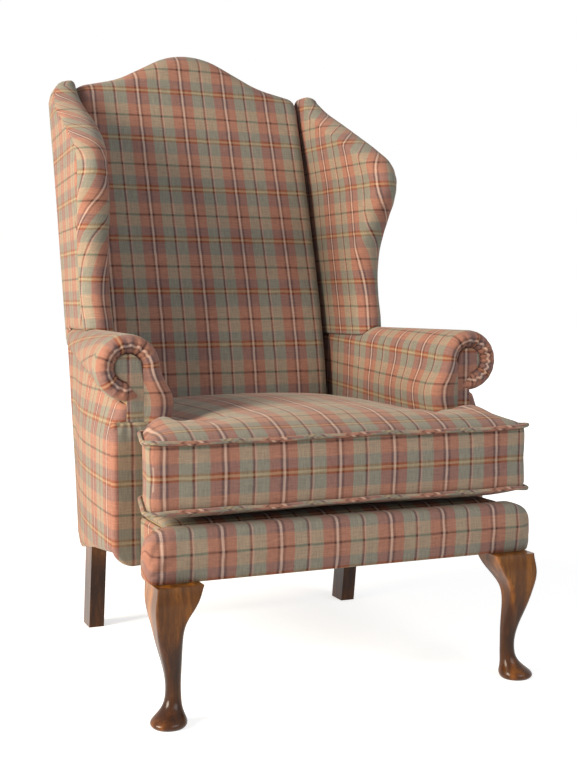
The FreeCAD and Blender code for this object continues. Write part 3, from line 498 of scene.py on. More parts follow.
# %% [markdown]
# ## Inside back
# The inside back is webbing, hessian, hair and wadding under one cover. It swells at the loins,
# flattens towards the top, and rolls over the serpentine crest rail to the rear. It could be
# sculpted from a block, but a loft is surer: one closed profile for each line of the warp, from
# side to side, with the outer ones drawn in where the cover tucks down beside the wings.

# %% The crest line and the swell of the back
BACK_LOW, BACK_SHOULDER = 112.0, 888.0
BACK_HALF_LOW, BACK_HALF_HIGH = 231.0, 241.0
CREST_CORNERS = ((BACK_HALF_HIGH, BACK_SHOULDER, 0), (150, 910, 200), (0, 992, 143),
                 (-150, 910, 200), (-BACK_HALF_HIGH, BACK_SHOULDER, 0))
CREST_ROLL = 33.0
CREST_FULL = 4.5  # the stuffing lifts the cover this far over the drawn crest
crest_line = rounded_line(CREST_CORNERS, turn=24)[::-1]
SWELL_HEIGHTS = (112, 180, 280, 395, 520, 660, 800, 930, 1000)
SWELL_DEPTHS = (50, 70, 88, 96, 93, 86, 78, 71, 68)


def back_half(height):
    # Half the width of the back, which grows a little towards the shoulders.
    rise = (height - BACK_LOW) / (BACK_SHOULDER - BACK_LOW)
    return BACK_HALF_LOW + (BACK_HALF_HIGH - BACK_HALF_LOW) * rise


def crest_height(x):
    return np.interp(x, crest_line[:, 0], crest_line[:, 1])


def smooth_table(places, values):
    # A gentle curve near the points of a short table, as a bent batten would lie.
    return np.polynomial.Polynomial.fit(places, values, min(len(places) - 1, 5))


back_swell = smooth_table(SWELL_HEIGHTS, SWELL_DEPTHS)
print("crest is", round(float(crest_height(0.0)), 1), "mm up the slope")

# %% Inside back
def make_inside_back():
    shares = np.sin(np.linspace(-1, 1, 61) * math.pi / 2) * 0.35 + np.linspace(-1, 1, 61) * 0.65
    front_rows, roll_rows = 78, 20
    profiles = []
    for share in shares:
        top = float(crest_height(share * BACK_HALF_HIGH)) + CREST_FULL
        tuck = max(0.0, (abs(share) - 0.9) / 0.1)
        fullness = 0.3 + 0.7 * math.sqrt(max(0.0, 1 - tuck ** 2))
        top -= 5 * (1 - fullness)
        roll_start = top - CREST_ROLL * 1.15
        heights = np.linspace(BACK_LOW, roll_start, front_rows)
        depths = back_swell(heights)
        ease = np.clip((heights - (roll_start - 130)) / 130, 0, 1) ** 2
        depths = depths * (1 - ease) + (2 * CREST_ROLL + 4) * ease
        depths = 8 + (depths - 8) * fullness
        turns = np.linspace(0, math.pi, roll_rows + 1)[1:]
        middle = 8 + (CREST_ROLL - 4) * fullness
        arc_depth = middle + (depths[-1] - middle) * np.cos(turns)
        arc_depth = np.where(turns > math.pi / 2, middle + (middle - 3) * np.cos(turns), arc_depth)
        arc_height = roll_start + (top - roll_start) * np.sin(turns)
        # Behind, the profile comes down to the hem again inside the back.
        tail_height = (roll_start - 6, roll_start - 20, BACK_LOW + 200, BACK_LOW)
        depth = np.concatenate([depths, arc_depth, (3.4, 9.0, 9.0, 9.0)])
        height = np.concatenate([heights, arc_height, tail_height])
        y, z = back_point(depth, height)
        profiles.append(np.stack([share * back_half(height), y, z], axis=1))
    rows = np.array(profiles)
    closed = closed_round(rows)
    upward = run_lengths(closed, 1)
    across = np.broadcast_to(closed[..., 0], upward.shape)
    piece = loop_piece("back_cover", rows, lay_cloth(across, upward * BACK_STRETCH, BACK_PHASE))
    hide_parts("inside_back")
    return piece


BACK_PHASE = (2.8, 73.3)
BACK_STRETCH = 0.86  # the cover is pulled tight up the back, which lengthens its pattern
back_cover = make_inside_back()
print("inside back points:", len(back_cover.data.vertices))

# %% [markdown]
# ## Outside back
# Behind, a plain panel hangs from under the rolled crest to the hem. It is slip-stitched along
# its edges, so its rim is drawn in and it stands a little full in the middle.

# %% Outside back
SKIN_INSIDE = 276.4


def make_outside_back():
    shares = np.linspace(-1, 1, 49)
    grid = []
    for rise in np.linspace(0, 1, 80):
        line = []
        for share in shares:
            x = share * SKIN_INSIDE
            top = float(crest_height(np.clip(x, -BACK_HALF_HIGH, BACK_HALF_HIGH))) - 26
            height = 8 + rise * (top - 8)
            y, z = back_point(0.6, height)
            line.append((x, y, z))
        grid.append(line)
    piece = soft_slab("rear_panel", np.array(grid), 6.6, 4.0, (0, 1, 0), crown=1.0)
    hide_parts("outside_back")
    return piece


make_outside_back()
print("outside back made")

# %% [markdown]
# ## Wings
# A wing is a shaped board, padded inside and finished at its front edge with a fat roll, which
# swells out at head height and sweeps up to the crest. On the drawing board it is a table: for a
# few heights, where the middle of the roll lies and how thick it is. Between them a spline runs.
# Each level section goes along the inner face, round the roll, and back along the board.

# %% Wing table
# Height, then the middle (x, y) of the roll and its radius.
WING = np.array((
    (530, 266, 178, 27),
    (560, 268, 184, 28),
    (610, 270, 199, 28),
    (660, 271, 205, 28),
    (710, 273, 199, 28.5),
    (760, 277, 178, 29),
    (805, 282, 156, 28.5),
    (842, 284, 152, 27),
    (875, 281, 175, 28),
    (905, 276, 226, 29),
    (940, 272, 298, 30),
    (975, 271, 372, 29),
    (1005, 266, 424, 24),
    (1030, 261, 452, 19),
))
WING_FOOT, WING_TOP = 557.0, 1030.0
WING_SEAM = 12.3
SIDE_REAR = 283.0
ARM_RUN = 525  # from the arm's front to its rear


def spline(places, values, x):
    # A smooth curve through every point of the table.
    slopes = np.gradient(values, places)
    k = np.clip(np.searchsorted(places, x) - 1, 0, len(places) - 2)
    step = places[k + 1] - places[k]
    t = (np.asarray(x, float) - places[k]) / step
    return ((2 * t ** 3 - 3 * t ** 2 + 1) * values[k] + (t ** 3 - 2 * t ** 2 + t) * step * slopes[k]
            + (3 * t ** 2 - 2 * t ** 3) * values[k + 1] + (t ** 3 - t ** 2) * step * slopes[k + 1])


def wing_at(z):
    z = np.clip(z, WING[0, 0], WING_TOP)
    x, y, radius = (spline(WING[:, 0], WING[:, k], z) for k in (1, 2, 3))
    inner_rear = back_half(np.minimum((z - HEM_HEIGHT) / math.cos(RAKE), BACK_SHOULDER)) + 0.8
    return x, y, radius, inner_rear


def scroll_at(y):
    # Middle (x, z) and radius of the arm's scroll, which narrows towards the back.
    share = (y - ARM_FRONT) / ARM_RUN
    radius = 52 - 26 * share
    return 303 - 40 * share, 560 - radius, radius


def arm_top_at(x, y):
    middle, height, radius = scroll_at(y)
    inside = np.maximum(radius ** 2 - (x - middle) ** 2, 0)
    return height + np.sqrt(inside)


print("wing is fullest at z =", WING[np.argmin(WING[:, 2]), 0])

# %% Inside wings, with their rolls
def wing_section(z, count_face, count_roll):
    # One level section, seen from above, for the right-hand wing.
    x, y, radius, inner_rear = wing_at(z)
    rear = back_plane(z, PAD_PLANE)
    points = []
    for share in np.linspace(0, 1, count_face):
        at_y = rear + share * (y - rear)
        blend = (at_y - y) / (rear - y)
        face = (x - radius) + blend * (inner_rear - (x - radius))
        face -= 3.0 * math.sin(math.pi * min(1.0, share * 1.1)) * (1 - 0.3 * share)
        points.append((face, at_y))
    for turn in np.linspace(math.pi, 2 * math.pi, count_roll)[1:]:
        points.append((x + radius * math.cos(turn), y + radius * 1.06 * math.sin(turn)))
    for share in (0.0, 0.5, 1.0):
        at_y = y + WING_SEAM - 2 + share * (rear - y - WING_SEAM)
        blend = (at_y - y) / (back_plane(z) - y)
        points.append(((x + radius) + blend * (SIDE_REAR - (x + radius)) - 7.0, at_y))
    return np.array(points)


# Each gather of the roll: its height, its width and its depth.
GATHERS = ((548, 5, 1.6), (566, 7, 1.2), (700, 10, 0.7), (742, 7, 1.1), (776, 6, 1.5),
           (802, 5.5, 1.8), (826, 5, 2.0), (848, 5, 1.9), (869, 5.5, 1.6), (893, 7, 1.1))


def wing_gathers(z, roll_share):
    # The cover is gathered where the roll turns tightly. roll_share goes from 0 inside to 1 outside.
    folds = 0.0
    for height, width, depth in GATHERS:
        folds -= depth * math.exp(-((z - height - 16 * (roll_share - 0.5)) / width) ** 2)
    return 0.6 * folds * math.sin(math.pi * min(1.0, 0.25 + roll_share * 0.75)) ** 0.7


def make_inside_wing(word, side):
    count_face, count_roll = 26, 26
    levels = np.linspace(0, 1, 120)
    low = wing_section(556, count_face, count_roll)
    floor = np.array([float(arm_top_at(x, y)) + 1.5 for x, y in low])
    floor = np.clip(floor, 545, 562)
    rows, plain = [], []
    for level in levels:
        line = floor + level * (WING_TOP - floor)
        section = wing_section(float(np.mean(line)), count_face, count_roll)
        points = np.column_stack([section, line])
        plain.append(points.copy())
        for number in range(count_face - 2, count_face + count_roll - 1):
            roll_share = np.clip((number - count_face + 1) / (count_roll - 1), 0, 1)
            x, y = section[number]
            middle_x, middle_y = wing_at(float(np.mean(line)))[:2]
            out = np.array((x - middle_x, y - middle_y))
            out = out / max(np.linalg.norm(out), 1e-6)
            move = wing_gathers(line[number], roll_share)
            points[number, :2] += out * move
        rows.append(points)
    # The top closes with a soft shoulder.
    crown = rows[-1].copy()
    middle = crown[:, :2].mean(axis=0)
    for lift, shrink in ((5.5, 0.88), (9.5, 0.66), (11.5, 0.36), (12, 0.08)):
        ring = crown.copy()
        ring[:, 0] = middle[0] + (crown[:, 0] - middle[0]) * shrink
        ring[:, 1] = middle[1] + (crown[:, 1] - middle[1]) * (0.5 + 0.5 * shrink)
        ring[:, 2] = crown[:, 2] + lift
        rows.append(ring)
        plain.append(ring)
    rows, plain = np.array(rows), np.array(plain)
    closed = closed_round(plain)
    across = run_lengths(closed, 1)
    across[len(levels):] = across[len(levels) - 1]
    rows = rows * np.array((side, 1, 1))
    piece = loop_piece("wing_cover_" + word, rows, lay_cloth(-across, closed[..., 2]))
    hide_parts("inside_wing_" + word)
    return piece


for word, side in SIDES:
    wing = make_inside_wing(word, side)
print("wing points:", len(wing.data.vertices))

# %% Outside wings
def make_outside_wing(word, side):
    grid = []
    for level in np.linspace(0, 1, 90):
        line = []
        for share in np.linspace(0, 1, 26):
            guess = WING_FOOT + level * (WING_TOP - WING_FOOT)
            start, end = wing_at(guess)[1] + WING_SEAM, back_plane(guess) - 1.0
            at_y = start + share * (end - start)
            # Behind the inner pad the panel reaches lower, down to the arm's outer panel.
            behind = np.clip((at_y - (back_plane(WING_FOOT, PAD_PLANE) - 6)) / 14, 0, 1)
            bottom = WING_FOOT + 1 - 27 * behind
            # The top edge falls towards the rear, where it meets the end of the crest.
            top = WING_TOP + 4 - 26 * share ** 1.5
            z = bottom + level * (top - bottom)
            x, y, radius = wing_at(z)[:3]
            blend = (at_y - y) / (back_plane(z) - y)
            face = (x + radius) + blend * (SIDE_REAR - (x + radius))
            line.append((side * face, at_y, z))
        grid.append(line)
    grid = np.array(grid)
    cloth = lay_cloth(grid[..., 1], grid[..., 2], SIDE_PHASE)
    piece = soft_slab("wing_outside_" + word, grid, 5.6, 3.6, (side, 0, 0), cloth=cloth, crown=0.8)
    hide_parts("outside_wing_" + word)
    return piece


SIDE_PHASE = (0.0, 42.5)
for word, side in SIDES:
    make_outside_wing(word, side)
print("outside wings made")

# %% [markdown]
# ## Arms
# A scroll arm is one cover pulled over a rounded rail: up the inner pad from the seat, over the
# scroll, and round under it, where it is tacked. At the front it is turned in round the scroll
# and taken up in small pleats, and a flat facing with a long neck covers the tacks. The scroll
# is a loft of closed sections. The front is more sections of the same loft, that shrink towards
# the facing, and the pleats are waves on them that grow towards the middle.

# %% One section of the arm
ARM_BOTTOM, ARM_INNER_LOW, ARM_INNER_HIGH, ARM_WAIST = 269.0, 233.0, 240.0, 457.0
ARM_COUNTS = (22, 8, 56, 12, 5)


def arm_section(y):
    x, z, radius = scroll_at(y)
    lower, upper, arc, back, bottom = ARM_COUNTS
    shoulder = x - radius
    waist = min(ARM_INNER_HIGH, shoulder - 0.5)
    points = []
    for share in np.linspace(0, 1, lower, endpoint=False):
        points.append((ARM_INNER_LOW + share * (waist - ARM_INNER_LOW),
                       ARM_BOTTOM + share * (ARM_WAIST - ARM_BOTTOM)))
    for share in np.linspace(0, 1, upper, endpoint=False):
        eased = share * share * (3 - 2 * share)
        points.append((waist + eased * (shoulder - waist), ARM_WAIST + share * (z - ARM_WAIST)))
    for turn in np.linspace(math.pi, -math.pi / 2, arc):
        points.append((x + radius * math.cos(turn), z + radius * math.sin(turn)))
    neck = min(281.2, x - 1)
    under = z - math.sqrt(max(radius ** 2 - (x - neck) ** 2, 1.0))
    for share in np.linspace(0, 1, back):
        points.append((neck, under + 1 + share * (ARM_BOTTOM - under - 1)))
    for share in np.linspace(0, 1, bottom + 2)[1:-1]:
        points.append((neck + share * (ARM_INNER_LOW - neck), ARM_BOTTOM))
    return np.array(points)


section = arm_section(ARM_FRONT)
print("arm section points:", len(section))

# %% The arm, its rolled front and its pleats
FACING_RADIUS, FACING_NECK, FACING_LOW = 21.5, 22.0, 421.0
PLEATS = 14
# How the front of the arm turns in: (share of the way to the facing, Y).
FRONT_TURN = ((0.0, -124), (0.0, -131), (0.03, -138), (0.11, -144.5), (0.24, -149.2), (0.41, -151.4),
              (0.59, -151.0), (0.76, -148.0), (0.89, -143.4), (0.98, -138.6))


def facing_edge(section):
    # For each point of the section, the point of the facing's outline that it is drawn to.
    x, z = scroll_at(ARM_FRONT)[:2]
    lower, upper, arc = ARM_COUNTS[:3]
    edge = section.copy()
    inner = slice(0, lower + upper)
    edge[inner, 0] = x - FACING_RADIUS - 1
    turns = np.linspace(math.pi, -math.pi / 2, arc)
    ring = slice(lower + upper, lower + upper + arc)
    edge[ring, 0] = x + (FACING_RADIUS + 1) * np.cos(turns)
    edge[ring, 1] = z + (FACING_RADIUS + 1) * np.sin(turns)
    return edge


TURN_REAR, ARM_REAR, PLEAT_DEPTH, STEADY_ROW = -124, 380, 6.4, 12


def pleat_share(number):
    # How deep in a pleat each point of the scroll lies, from 0 to 1.
    lower, upper, arc = ARM_COUNTS[:3]
    share = (number - lower - upper) / (arc - 1)
    if share < 0.06 or share > 1:
        return 0.0
    wave = abs(math.sin(share * PLEATS * math.pi + 0.6 * math.sin(9 * share)))
    return (1 - wave) ** 1.3 * min(1.0, (share - 0.06) / 0.12)


def pad_puff(z):
    # The cushion pushes the pad's lower front in towards the seat.
    return 11.0 * math.exp(-((z - 452) / 34) ** 2)


def make_arm(word, side):
    front = arm_section(ARM_FRONT)
    edge = facing_edge(front)
    pad_points = sum(ARM_COUNTS[:2])
    rows = []
    for share, y in FRONT_TURN[::-1]:
        ring = np.column_stack([front[:, 0], np.full(len(front), float(y)), front[:, 1]])
        ring[:, 0] += share * (edge[:, 0] - front[:, 0])
        ring[:, 2] += share * (edge[:, 1] - front[:, 1])
        for number in range(len(front)):
            ring[number, 1] += PLEAT_DEPTH * pleat_share(number) * min(1.0, share * 1.9)
            if number < pad_points:
                ring[number, 0] -= pad_puff(front[number, 1]) * (1 - share)
                if share > 0.5:
                    # Beside the neck the pad only comes down to the facing.
                    ring[number, 1] = min(ring[number, 1], ARM_FRONT - 5)
            elif number >= sum(ARM_COUNTS[:3]):
                # Behind the neck the cover stays behind the facing.
                ring[number, 1] = max(ring[number, 1], ARM_FRONT - 1)
        rows.append(ring)
    for travel in np.linspace(0, 1, 56)[1:]:
        section = arm_section(TURN_REAR + travel * (ARM_REAR - TURN_REAR))
        line = []
        for number, (x, z) in enumerate(section):
            end = back_plane(z, PAD_PLANE - 0.5)
            puff = pad_puff(z) * (1 - travel) ** 2 if x < 250 else 0.0
            line.append((x - puff, TURN_REAR + travel * (end - TURN_REAR), z))
        rows.append(np.array(line))
    rows = np.array(rows)
    closed = closed_round(rows)
    girth = run_lengths(closed, 1)
    onset = girth[:, pad_points][:, None]
    # The turned-in front keeps the stripes' places of a row a little behind it.
    steady = girth[STEADY_ROW] - onset[STEADY_ROW]
    girth = np.where(closed[..., 1] < TURN_REAR, np.broadcast_to(steady, girth.shape), girth - onset)
    length = run_lengths(closed, 0)
    turn = len(FRONT_TURN) - 1
    length = length - length[turn:turn + 1] + closed[turn:turn + 1, :, 1]
    rows = rows * np.array((side, 1, 1))
    piece = loop_piece("arm_cover_" + word, rows, lay_cloth(-length, girth))
    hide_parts("inside_arm_" + word)
    return piece


for word, side in SIDES:
    make_arm(word, side)
print("arms made, with", PLEATS, "pleats each")

# %% The facing of the scroll
def make_facing(word, side):
    x, z = scroll_at(ARM_FRONT)[:2]
    heights = np.concatenate([np.linspace(FACING_LOW, z, 24, endpoint=False),
                              z + FACING_RADIUS * np.sin(np.linspace(0, math.pi / 2 * 0.985, 18))])
    grid = []
    for height in heights:
        chord = math.sqrt(max(FACING_RADIUS ** 2 - (height - z) ** 2, 0.0))
        inner = x - (chord if height > z else FACING_RADIUS)
        # Below the scroll the neck reaches a little under the pad.
        inner -= 3.5 * np.clip((z - height) / 20, 0, 1)
        fillet = max(0.0, 1 - abs(height - (z - FACING_RADIUS - 2)) / 8) * 3
        outer = max(x + chord, x - FACING_RADIUS + FACING_NECK + fillet) if height < z else x + chord
        low_share = np.clip((z - FACING_RADIUS - height) / 60, 0, 1)
        inner -= 4 * low_share
        outer += 3 * low_share
        dip = 0.5 * math.sin(height / 9.0)
        line = [(side * (inner + share * (outer - inner)), ARM_FRONT - 4.0 - dip * 0.3, height)
                for share in np.linspace(0, 1, 22)]
        grid.append(line)
    grid = np.array(grid)
    cloth = lay_cloth(grid[..., 0], grid[..., 2], FACING_PHASE)
    piece = soft_slab("scroll_facing_" + word, grid, 4.2, 2.6, (0, -1, 0), cloth=cloth, crown=0.8)
    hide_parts("arm_facing_" + word)
    return piece


FACING_PHASE = (49.2, 30.0)
for word, side in SIDES:
    make_facing(word, side)
print("facings made")

# %% [markdown]
# ## Outer arms and the fronts of the arm posts
# The outer panel hangs from under the scroll to the hem, curves in towards the back, and turns
# the front corner as far as the neck of the facing. Below the neck a padded front covers the
# post. The three covers meet at the neck's foot, and the spare cloth is taken up in a knot of
# small pleats there.

# %% Outer arm panels
SIDE_RUN = np.array((-138.0, -60, 40, 110, 180, 240, 300, 420))
SIDE_WIDTH = np.array((332.0, 330, 325, 317.5, 307, 295, 284.5, 283))
SIDE_LEAN = np.array((18.0, 15.5, 13, 9.5, 6, 3, 0.5, 0))
SIDE_END = 438.0
# The hem starts at this height and falls over this run. The top edge rises towards the back.
SIDE_HEM, HEM_FALL, HEM_RUN, TOP_RISE = 222, 51, 413, 25.5


def make_outside_arm(word, side):
    # How the panel turns the front corner: (offset to the outside, Y).
    turns = ((-29, -139.4), (-20, -139.4), (-12, -139.2), (-6, -138), (-2.2, -134.8), (-0.5, -130))
    stations = list(turns) + [(0.0, y) for y in np.linspace(-122, SIDE_END, 60)]
    grid = []
    for level in np.linspace(0, 1, 46):
        line = []
        for offset, y in stations:
            along = max(y, ARM_FRONT)
            hem = SIDE_HEM - HEM_FALL * min((along - ARM_FRONT) / HEM_RUN, 1.0)
            rise = (along - ARM_FRONT) / ARM_RUN
            height, radius = scroll_at(along)[1:]
            top = height - radius - 3 + rise * TOP_RISE
            z = hem + level * (top - hem)
            limit = back_plane(z) - 0.8
            if y > 0:
                y = y * limit / SIDE_END
            width = float(spline(SIDE_RUN, SIDE_WIDTH, min(y, 419)))
            lean = float(spline(SIDE_RUN, SIDE_LEAN, min(max(y, -137.9), 419)))
            above = max(0.0, (z - 395) / max(top - 395, 1))
            belly = 2.2 * math.sin(math.pi * level)
            x = width - lean * above ** 1.3 + belly * min(1.0, (y + 140) / 40) + offset
            line.append((side * x, y, z))
        grid.append(line)
    grid = np.array(grid)
    offsets = np.array([offset for offset, y in stations])
    cloth = lay_cloth(grid[..., 1] - offsets, grid[..., 2], SIDE_PHASE)
    piece = soft_slab("arm_outside_" + word, grid, 5.6, 3.2, (side, -0.3, 0), cloth=cloth)
    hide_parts("outside_arm_" + word)
    return piece


for word, side in SIDES:
    make_outside_arm(word, side)
print("outer arms made")

# %% Fronts of the arm posts
POST_LOW, POST_TOP, POST_OUT, POST_IN, POST_CORNER = 200.0, 428.0, 332.0, 240.0, 34.0
POST_FACE = ARM_FRONT - 0.3 - 11
KNOT_X, KNOT_HEIGHT = 308, POST_TOP + 6  # where the small pleats meet


def make_post_front(word, side):
    heights = np.concatenate([POST_LOW + POST_CORNER * (1 - np.cos(np.linspace(0.1, math.pi / 2, 14))),
                              np.linspace(POST_LOW + POST_CORNER, POST_TOP, 70)[1:]])
    grid = []
    for z in heights:
        down = max(0.0, POST_LOW + POST_CORNER - z)
        outer = POST_OUT - POST_CORNER + math.sqrt(max(POST_CORNER ** 2 - down ** 2, 0.0))
        inner = POST_IN + 42 * (1 / (1 + math.exp((z - 270) / 2.0)))
        line = []
        for share in np.linspace(0, 1, 34):
            x = inner + share * (outer - inner)
            fan = math.atan2(x - KNOT_X, KNOT_HEIGHT - z)
            near = math.exp(-(math.hypot(KNOT_HEIGHT - z, (x - KNOT_X) * 0.7) / 30) ** 2)
            fold = 4.2 * near * (abs(math.sin(fan * 4.6)) - 0.5)
            tuck = 9.0 * np.clip((z - (POST_TOP - 34)) / 34, 0, 1) ** 2
            line.append((side * x, POST_FACE + 0.6 + tuck - fold, z))
        grid.append(line)
    grid = np.array(grid)
    cloth = lay_cloth(grid[..., 0], grid[..., 2], POST_PHASE)
    piece = soft_slab("post_front_" + word, grid, 10.4, 8.0, (0, -1, 0), cloth=cloth, crown=1.0)
    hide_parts("front_post_cover_" + word)
    return piece


POST_PHASE = (45.7, 42.5)
for word, side in SIDES:
    make_post_front(word, side)
print("post fronts made")

# %% [markdown]
# ## Front border
# A padded roll closes the seat below the cushion. It covers the face, the top and both ends of
# the front rail. Its section is a hook over the rail, and at the ends it rounds down like a
# bolster, with the spare cloth pleated towards the lower corner.

# %% Front border and its returns
BORDER_HALF, BORDER_LOW, BORDER_TOP, BORDER_CLOSE = 326.0, 205.7, 283.0, 13.0
BORDER_FRONT, BORDER_REAR, RAIL_FRONT, RAIL_TOP, RAIL_END = -306.0, -266.0, -292.3, 268.6, 281.6


def border_section(x):
    end = np.clip((abs(x) - (BORDER_HALF - 40)) / 40, 0, 1)
    fall = 1 - math.sqrt(max(1 - end ** 2.2, 0.0))
    top = BORDER_TOP - 34 * fall + 1.6 * (1 - end)
    front = BORDER_FRONT + 9 * fall
    low = BORDER_LOW + 2 * fall
    rear = BORDER_REAR - 2
    bulge = 4.0 * (1 - fall)
    corners = ((front + 3, low, 0), (front, low + 8, 6), (front - bulge, (low + top) / 2, 40),
               (front, top, 13 * (1 - 0.3 * fall)), (rear, top, 10), (rear, RAIL_TOP - 40 * fall, 0))
    outline = even_points(rounded_line(corners, turn=7), 60)
    if abs(x) < RAIL_END:
        inner = np.array(((RAIL_FRONT, RAIL_TOP), (RAIL_FRONT, (RAIL_TOP + BORDER_LOW) / 2),
                          (RAIL_FRONT, low)))
    else:
        inner = np.array(((rear, low + 8 + 12 * (1 - fall)), (rear - 1, low), (front + 8, low)))
    section = np.vstack([outline, inner])
    # The last stretch rounds in to the end, like the end of a bolster.
    close = np.clip((abs(x) - (BORDER_HALF - BORDER_CLOSE)) / BORDER_CLOSE, 0, 1)
    middle = np.array(((front + rear) / 2, (low + top) / 2))
    return middle + (section - middle) * (0.03 + 0.97 * (1 - close ** 3) ** 0.5)


BORDER_STEPS = (0.01, 0.06, 0.15, 0.3, 0.6, 1.1, 1.8, 2.8, 4.2, 6, 8, 10.4)


def make_border():
    shares = np.linspace(-1, 1, 150)
    places = list(np.sin(shares * math.pi / 2) * BORDER_HALF * 0.25 + shares * BORDER_HALF * 0.75)
    places += [side * (RAIL_END + step) for side in (-1, 1) for step in (-0.1, 0.1)]
    places += [side * (BORDER_HALF - step) for side in (-1, 1) for step in BORDER_STEPS]
    rows = []
    for x in sorted(places):
        section = border_section(x)
        end = np.clip((abs(x) - 262) / 45, 0, 1) * np.clip((BORDER_HALF - abs(x)) / 8, 0, 1)
        line = []
        for number, (y, z) in enumerate(section):
            fan = math.atan2(z - BORDER_LOW - 4, BORDER_HALF + 4 - abs(x))
            fold = 2.6 * end * (abs(math.sin(fan * 5.0 + 0.4)) - 0.6)
            weight = math.sin(math.pi * min(1.0, number / 52))
            line.append((x, y - fold * weight, z + 0.5 * fold * weight))
        rows.append(line)
    rows = np.array(rows)
    closed = closed_round(rows)
    cloth = lay_cloth(closed[..., 0], run_lengths(closed, 1), BORDER_PHASE)
    piece = loop_piece("front_border_cover", rows, cloth)
    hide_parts("front_border")
    return piece


def make_returns():
    low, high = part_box("border_returns")
    for word, side in SIDES:
        grid = []
        for z in np.linspace(low.z * 1000 + 0.5, high.z * 1000 - 0.5, 14):
            ys = np.linspace(low.y * 1000 - SET_OUT, high.y * 1000 - SET_OUT, 30)
            grid.append([(side * (high.x * 1000 + 2), y, z) for y in ys])
        piece = soft_slab("border_return_" + word, np.array(grid), 6.0, 3.0, (side, 0, 0), crown=1.0)
    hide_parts("border_returns")


BORDER_PHASE = (4.4, 5.7)
border = make_border()
make_returns()
print("border points:", len(border.data.vertices))

# %% [markdown]
# ## Seat cushion
# The loose cushion is T-shaped and boxed: a top and a bottom panel joined by a border, with a
# piped seam above and below. Its filling pushes the panels out between the seams, and drags
# them in at the corners. That is just what a cloth simulation does, so we build the sewn shape
# a little small, pin it along both seams, and blow it up with a few frames of pressure. The
# weave is laid on afterwards, by place, because the remesh keeps no UV map.

# %% Plan and start shape of the cushion
CUSHION_LOW_SEAM, CUSHION_HIGH_SEAM = 309.0, 407.0
CUSHION_MIDDLE = (CUSHION_LOW_SEAM + CUSHION_HIGH_SEAM) / 2
CUSHION_WALL = CUSHION_HIGH_SEAM - CUSHION_LOW_SEAM
CUSHION_HALF, EAR_REAR_HALF, BETWEEN_ARMS_HALF = 335, 298, 232
CUSHION_FRONT, EAR_REAR, CUSHION_REAR = -312, -151.5, 260
CORD, CUSHION_CORNER = 7.8, 22


def cushion_plan(inset, corner, count=None):
    # The ears' sides lean in towards the rear, and are set in square to themselves.
    lean = (CUSHION_HALF - EAR_REAR_HALF) / (EAR_REAR - CUSHION_FRONT)
    slant = math.sqrt(1 + lean ** 2)
    away = CORD + inset
    wide, ear = CUSHION_HALF - away * (slant + lean), EAR_REAR_HALF - away * (slant - lean)
    narrow, front = BETWEEN_ARMS_HALF - away, CUSHION_FRONT + away
    step, rear = EAR_REAR - away, CUSHION_REAR - away
    hollow = max(corner - 8, 6)
    corners = ((-wide, front, corner), (wide, front, corner), (ear, step, corner),
               (narrow, step, hollow), (narrow, rear, corner), (-narrow, rear, corner),
               (-narrow, step, hollow), (-ear, step, corner))
    line = rounded_line(corners, closed=True, turn=10)
    return even_points(line, count, closed=True) if count else line


def cushion_rings(levels, count):
    # A closed line for each (height, inset). Its corners grow tighter as it shrinks.
    rings = []
    for z, inset in levels:
        plan = cushion_plan(inset, CUSHION_CORNER * (1 - inset / 100), count)
        rings.append(np.column_stack([plan, np.full(count, z)]))
    return np.array(rings)


def cushion_start(count=360):
    levels = ((292, 58), (294, 34), (301, 14), (306, 5), (CUSHION_LOW_SEAM, 1.0), (316, 2.5),
              (330, 4.5), (358, 6), (386, 4.5), (400, 2.5), (CUSHION_HIGH_SEAM, 1.0), (411, 5),
              (417, 14), (422, 30), (425, 58))
    faces = ring_faces(len(levels), count)[0]
    faces.append(tuple(range(count))[::-1])
    faces.append(tuple(range((len(levels) - 1) * count, len(levels) * count)))
    return cushion_rings(levels, count).reshape(-1, 3), faces


start_points, start_faces = cushion_start()
print("sewn start shape:", len(start_points), "points")

# %% Blow the cushion up
def remesh(piece, size):
    modifier = piece.modifiers.new("even_mesh", "REMESH")
    modifier.mode = "VOXEL"
    modifier.voxel_size = size
    apply_modifiers(piece)


def apply_modifiers(piece):
    ready = piece.evaluated_get(bpy.context.evaluated_depsgraph_get())
    mesh = bpy.data.meshes.new_from_object(ready)
    piece.modifiers.clear()
    old = piece.data
    piece.data = mesh
    bpy.data.meshes.remove(old)


def coordinates(mesh):
    flat = np.zeros(len(mesh.vertices) * 3, np.float32)
    mesh.vertices.foreach_get("co", flat)
    return flat.reshape(-1, 3).astype(float)


def blow_up(piece, pinned, frames=20, pressure=4.0, cap=0.014):
    group = piece.vertex_groups.new(name="seams")
    group.add([int(number) for number in pinned], 1.0, "REPLACE")
    before = coordinates(piece.data)
    cloth = piece.modifiers.new("stuffing", "CLOTH")
    settings = cloth.settings
    settings.quality = 4
    settings.mass = 0.3
    settings.tension_stiffness = 15
    settings.compression_stiffness = 12
    settings.shear_stiffness = 6
    settings.bending_stiffness = 0.4
    settings.vertex_group_mass = "seams"
    settings.use_pressure = True
    settings.uniform_pressure_force = pressure
    settings.effector_weights.gravity = 0
    cloth.collision_settings.use_collision = False
    scene = bpy.context.scene
    for number in range(1, frames + 1):
        scene.frame_set(number)
    apply_modifiers(piece)
    scene.frame_set(1)
    after = coordinates(piece.data)
    move = after - before
    length = np.linalg.norm(move, axis=1, keepdims=True)
    move *= np.minimum(1.0, cap / np.maximum(length, 1e-9))
    piece.data.vertices.foreach_set("co", (before + move).astype(np.float32).ravel())
    piece.data.update()
    piece.vertex_groups.clear()
    return float(length.max())


def chair_millimetres(mesh):
    # Back from Blender's metres to the setting-out millimetres.
    return coordinates(mesh) * 1000 - np.array((0, SET_OUT, 0))


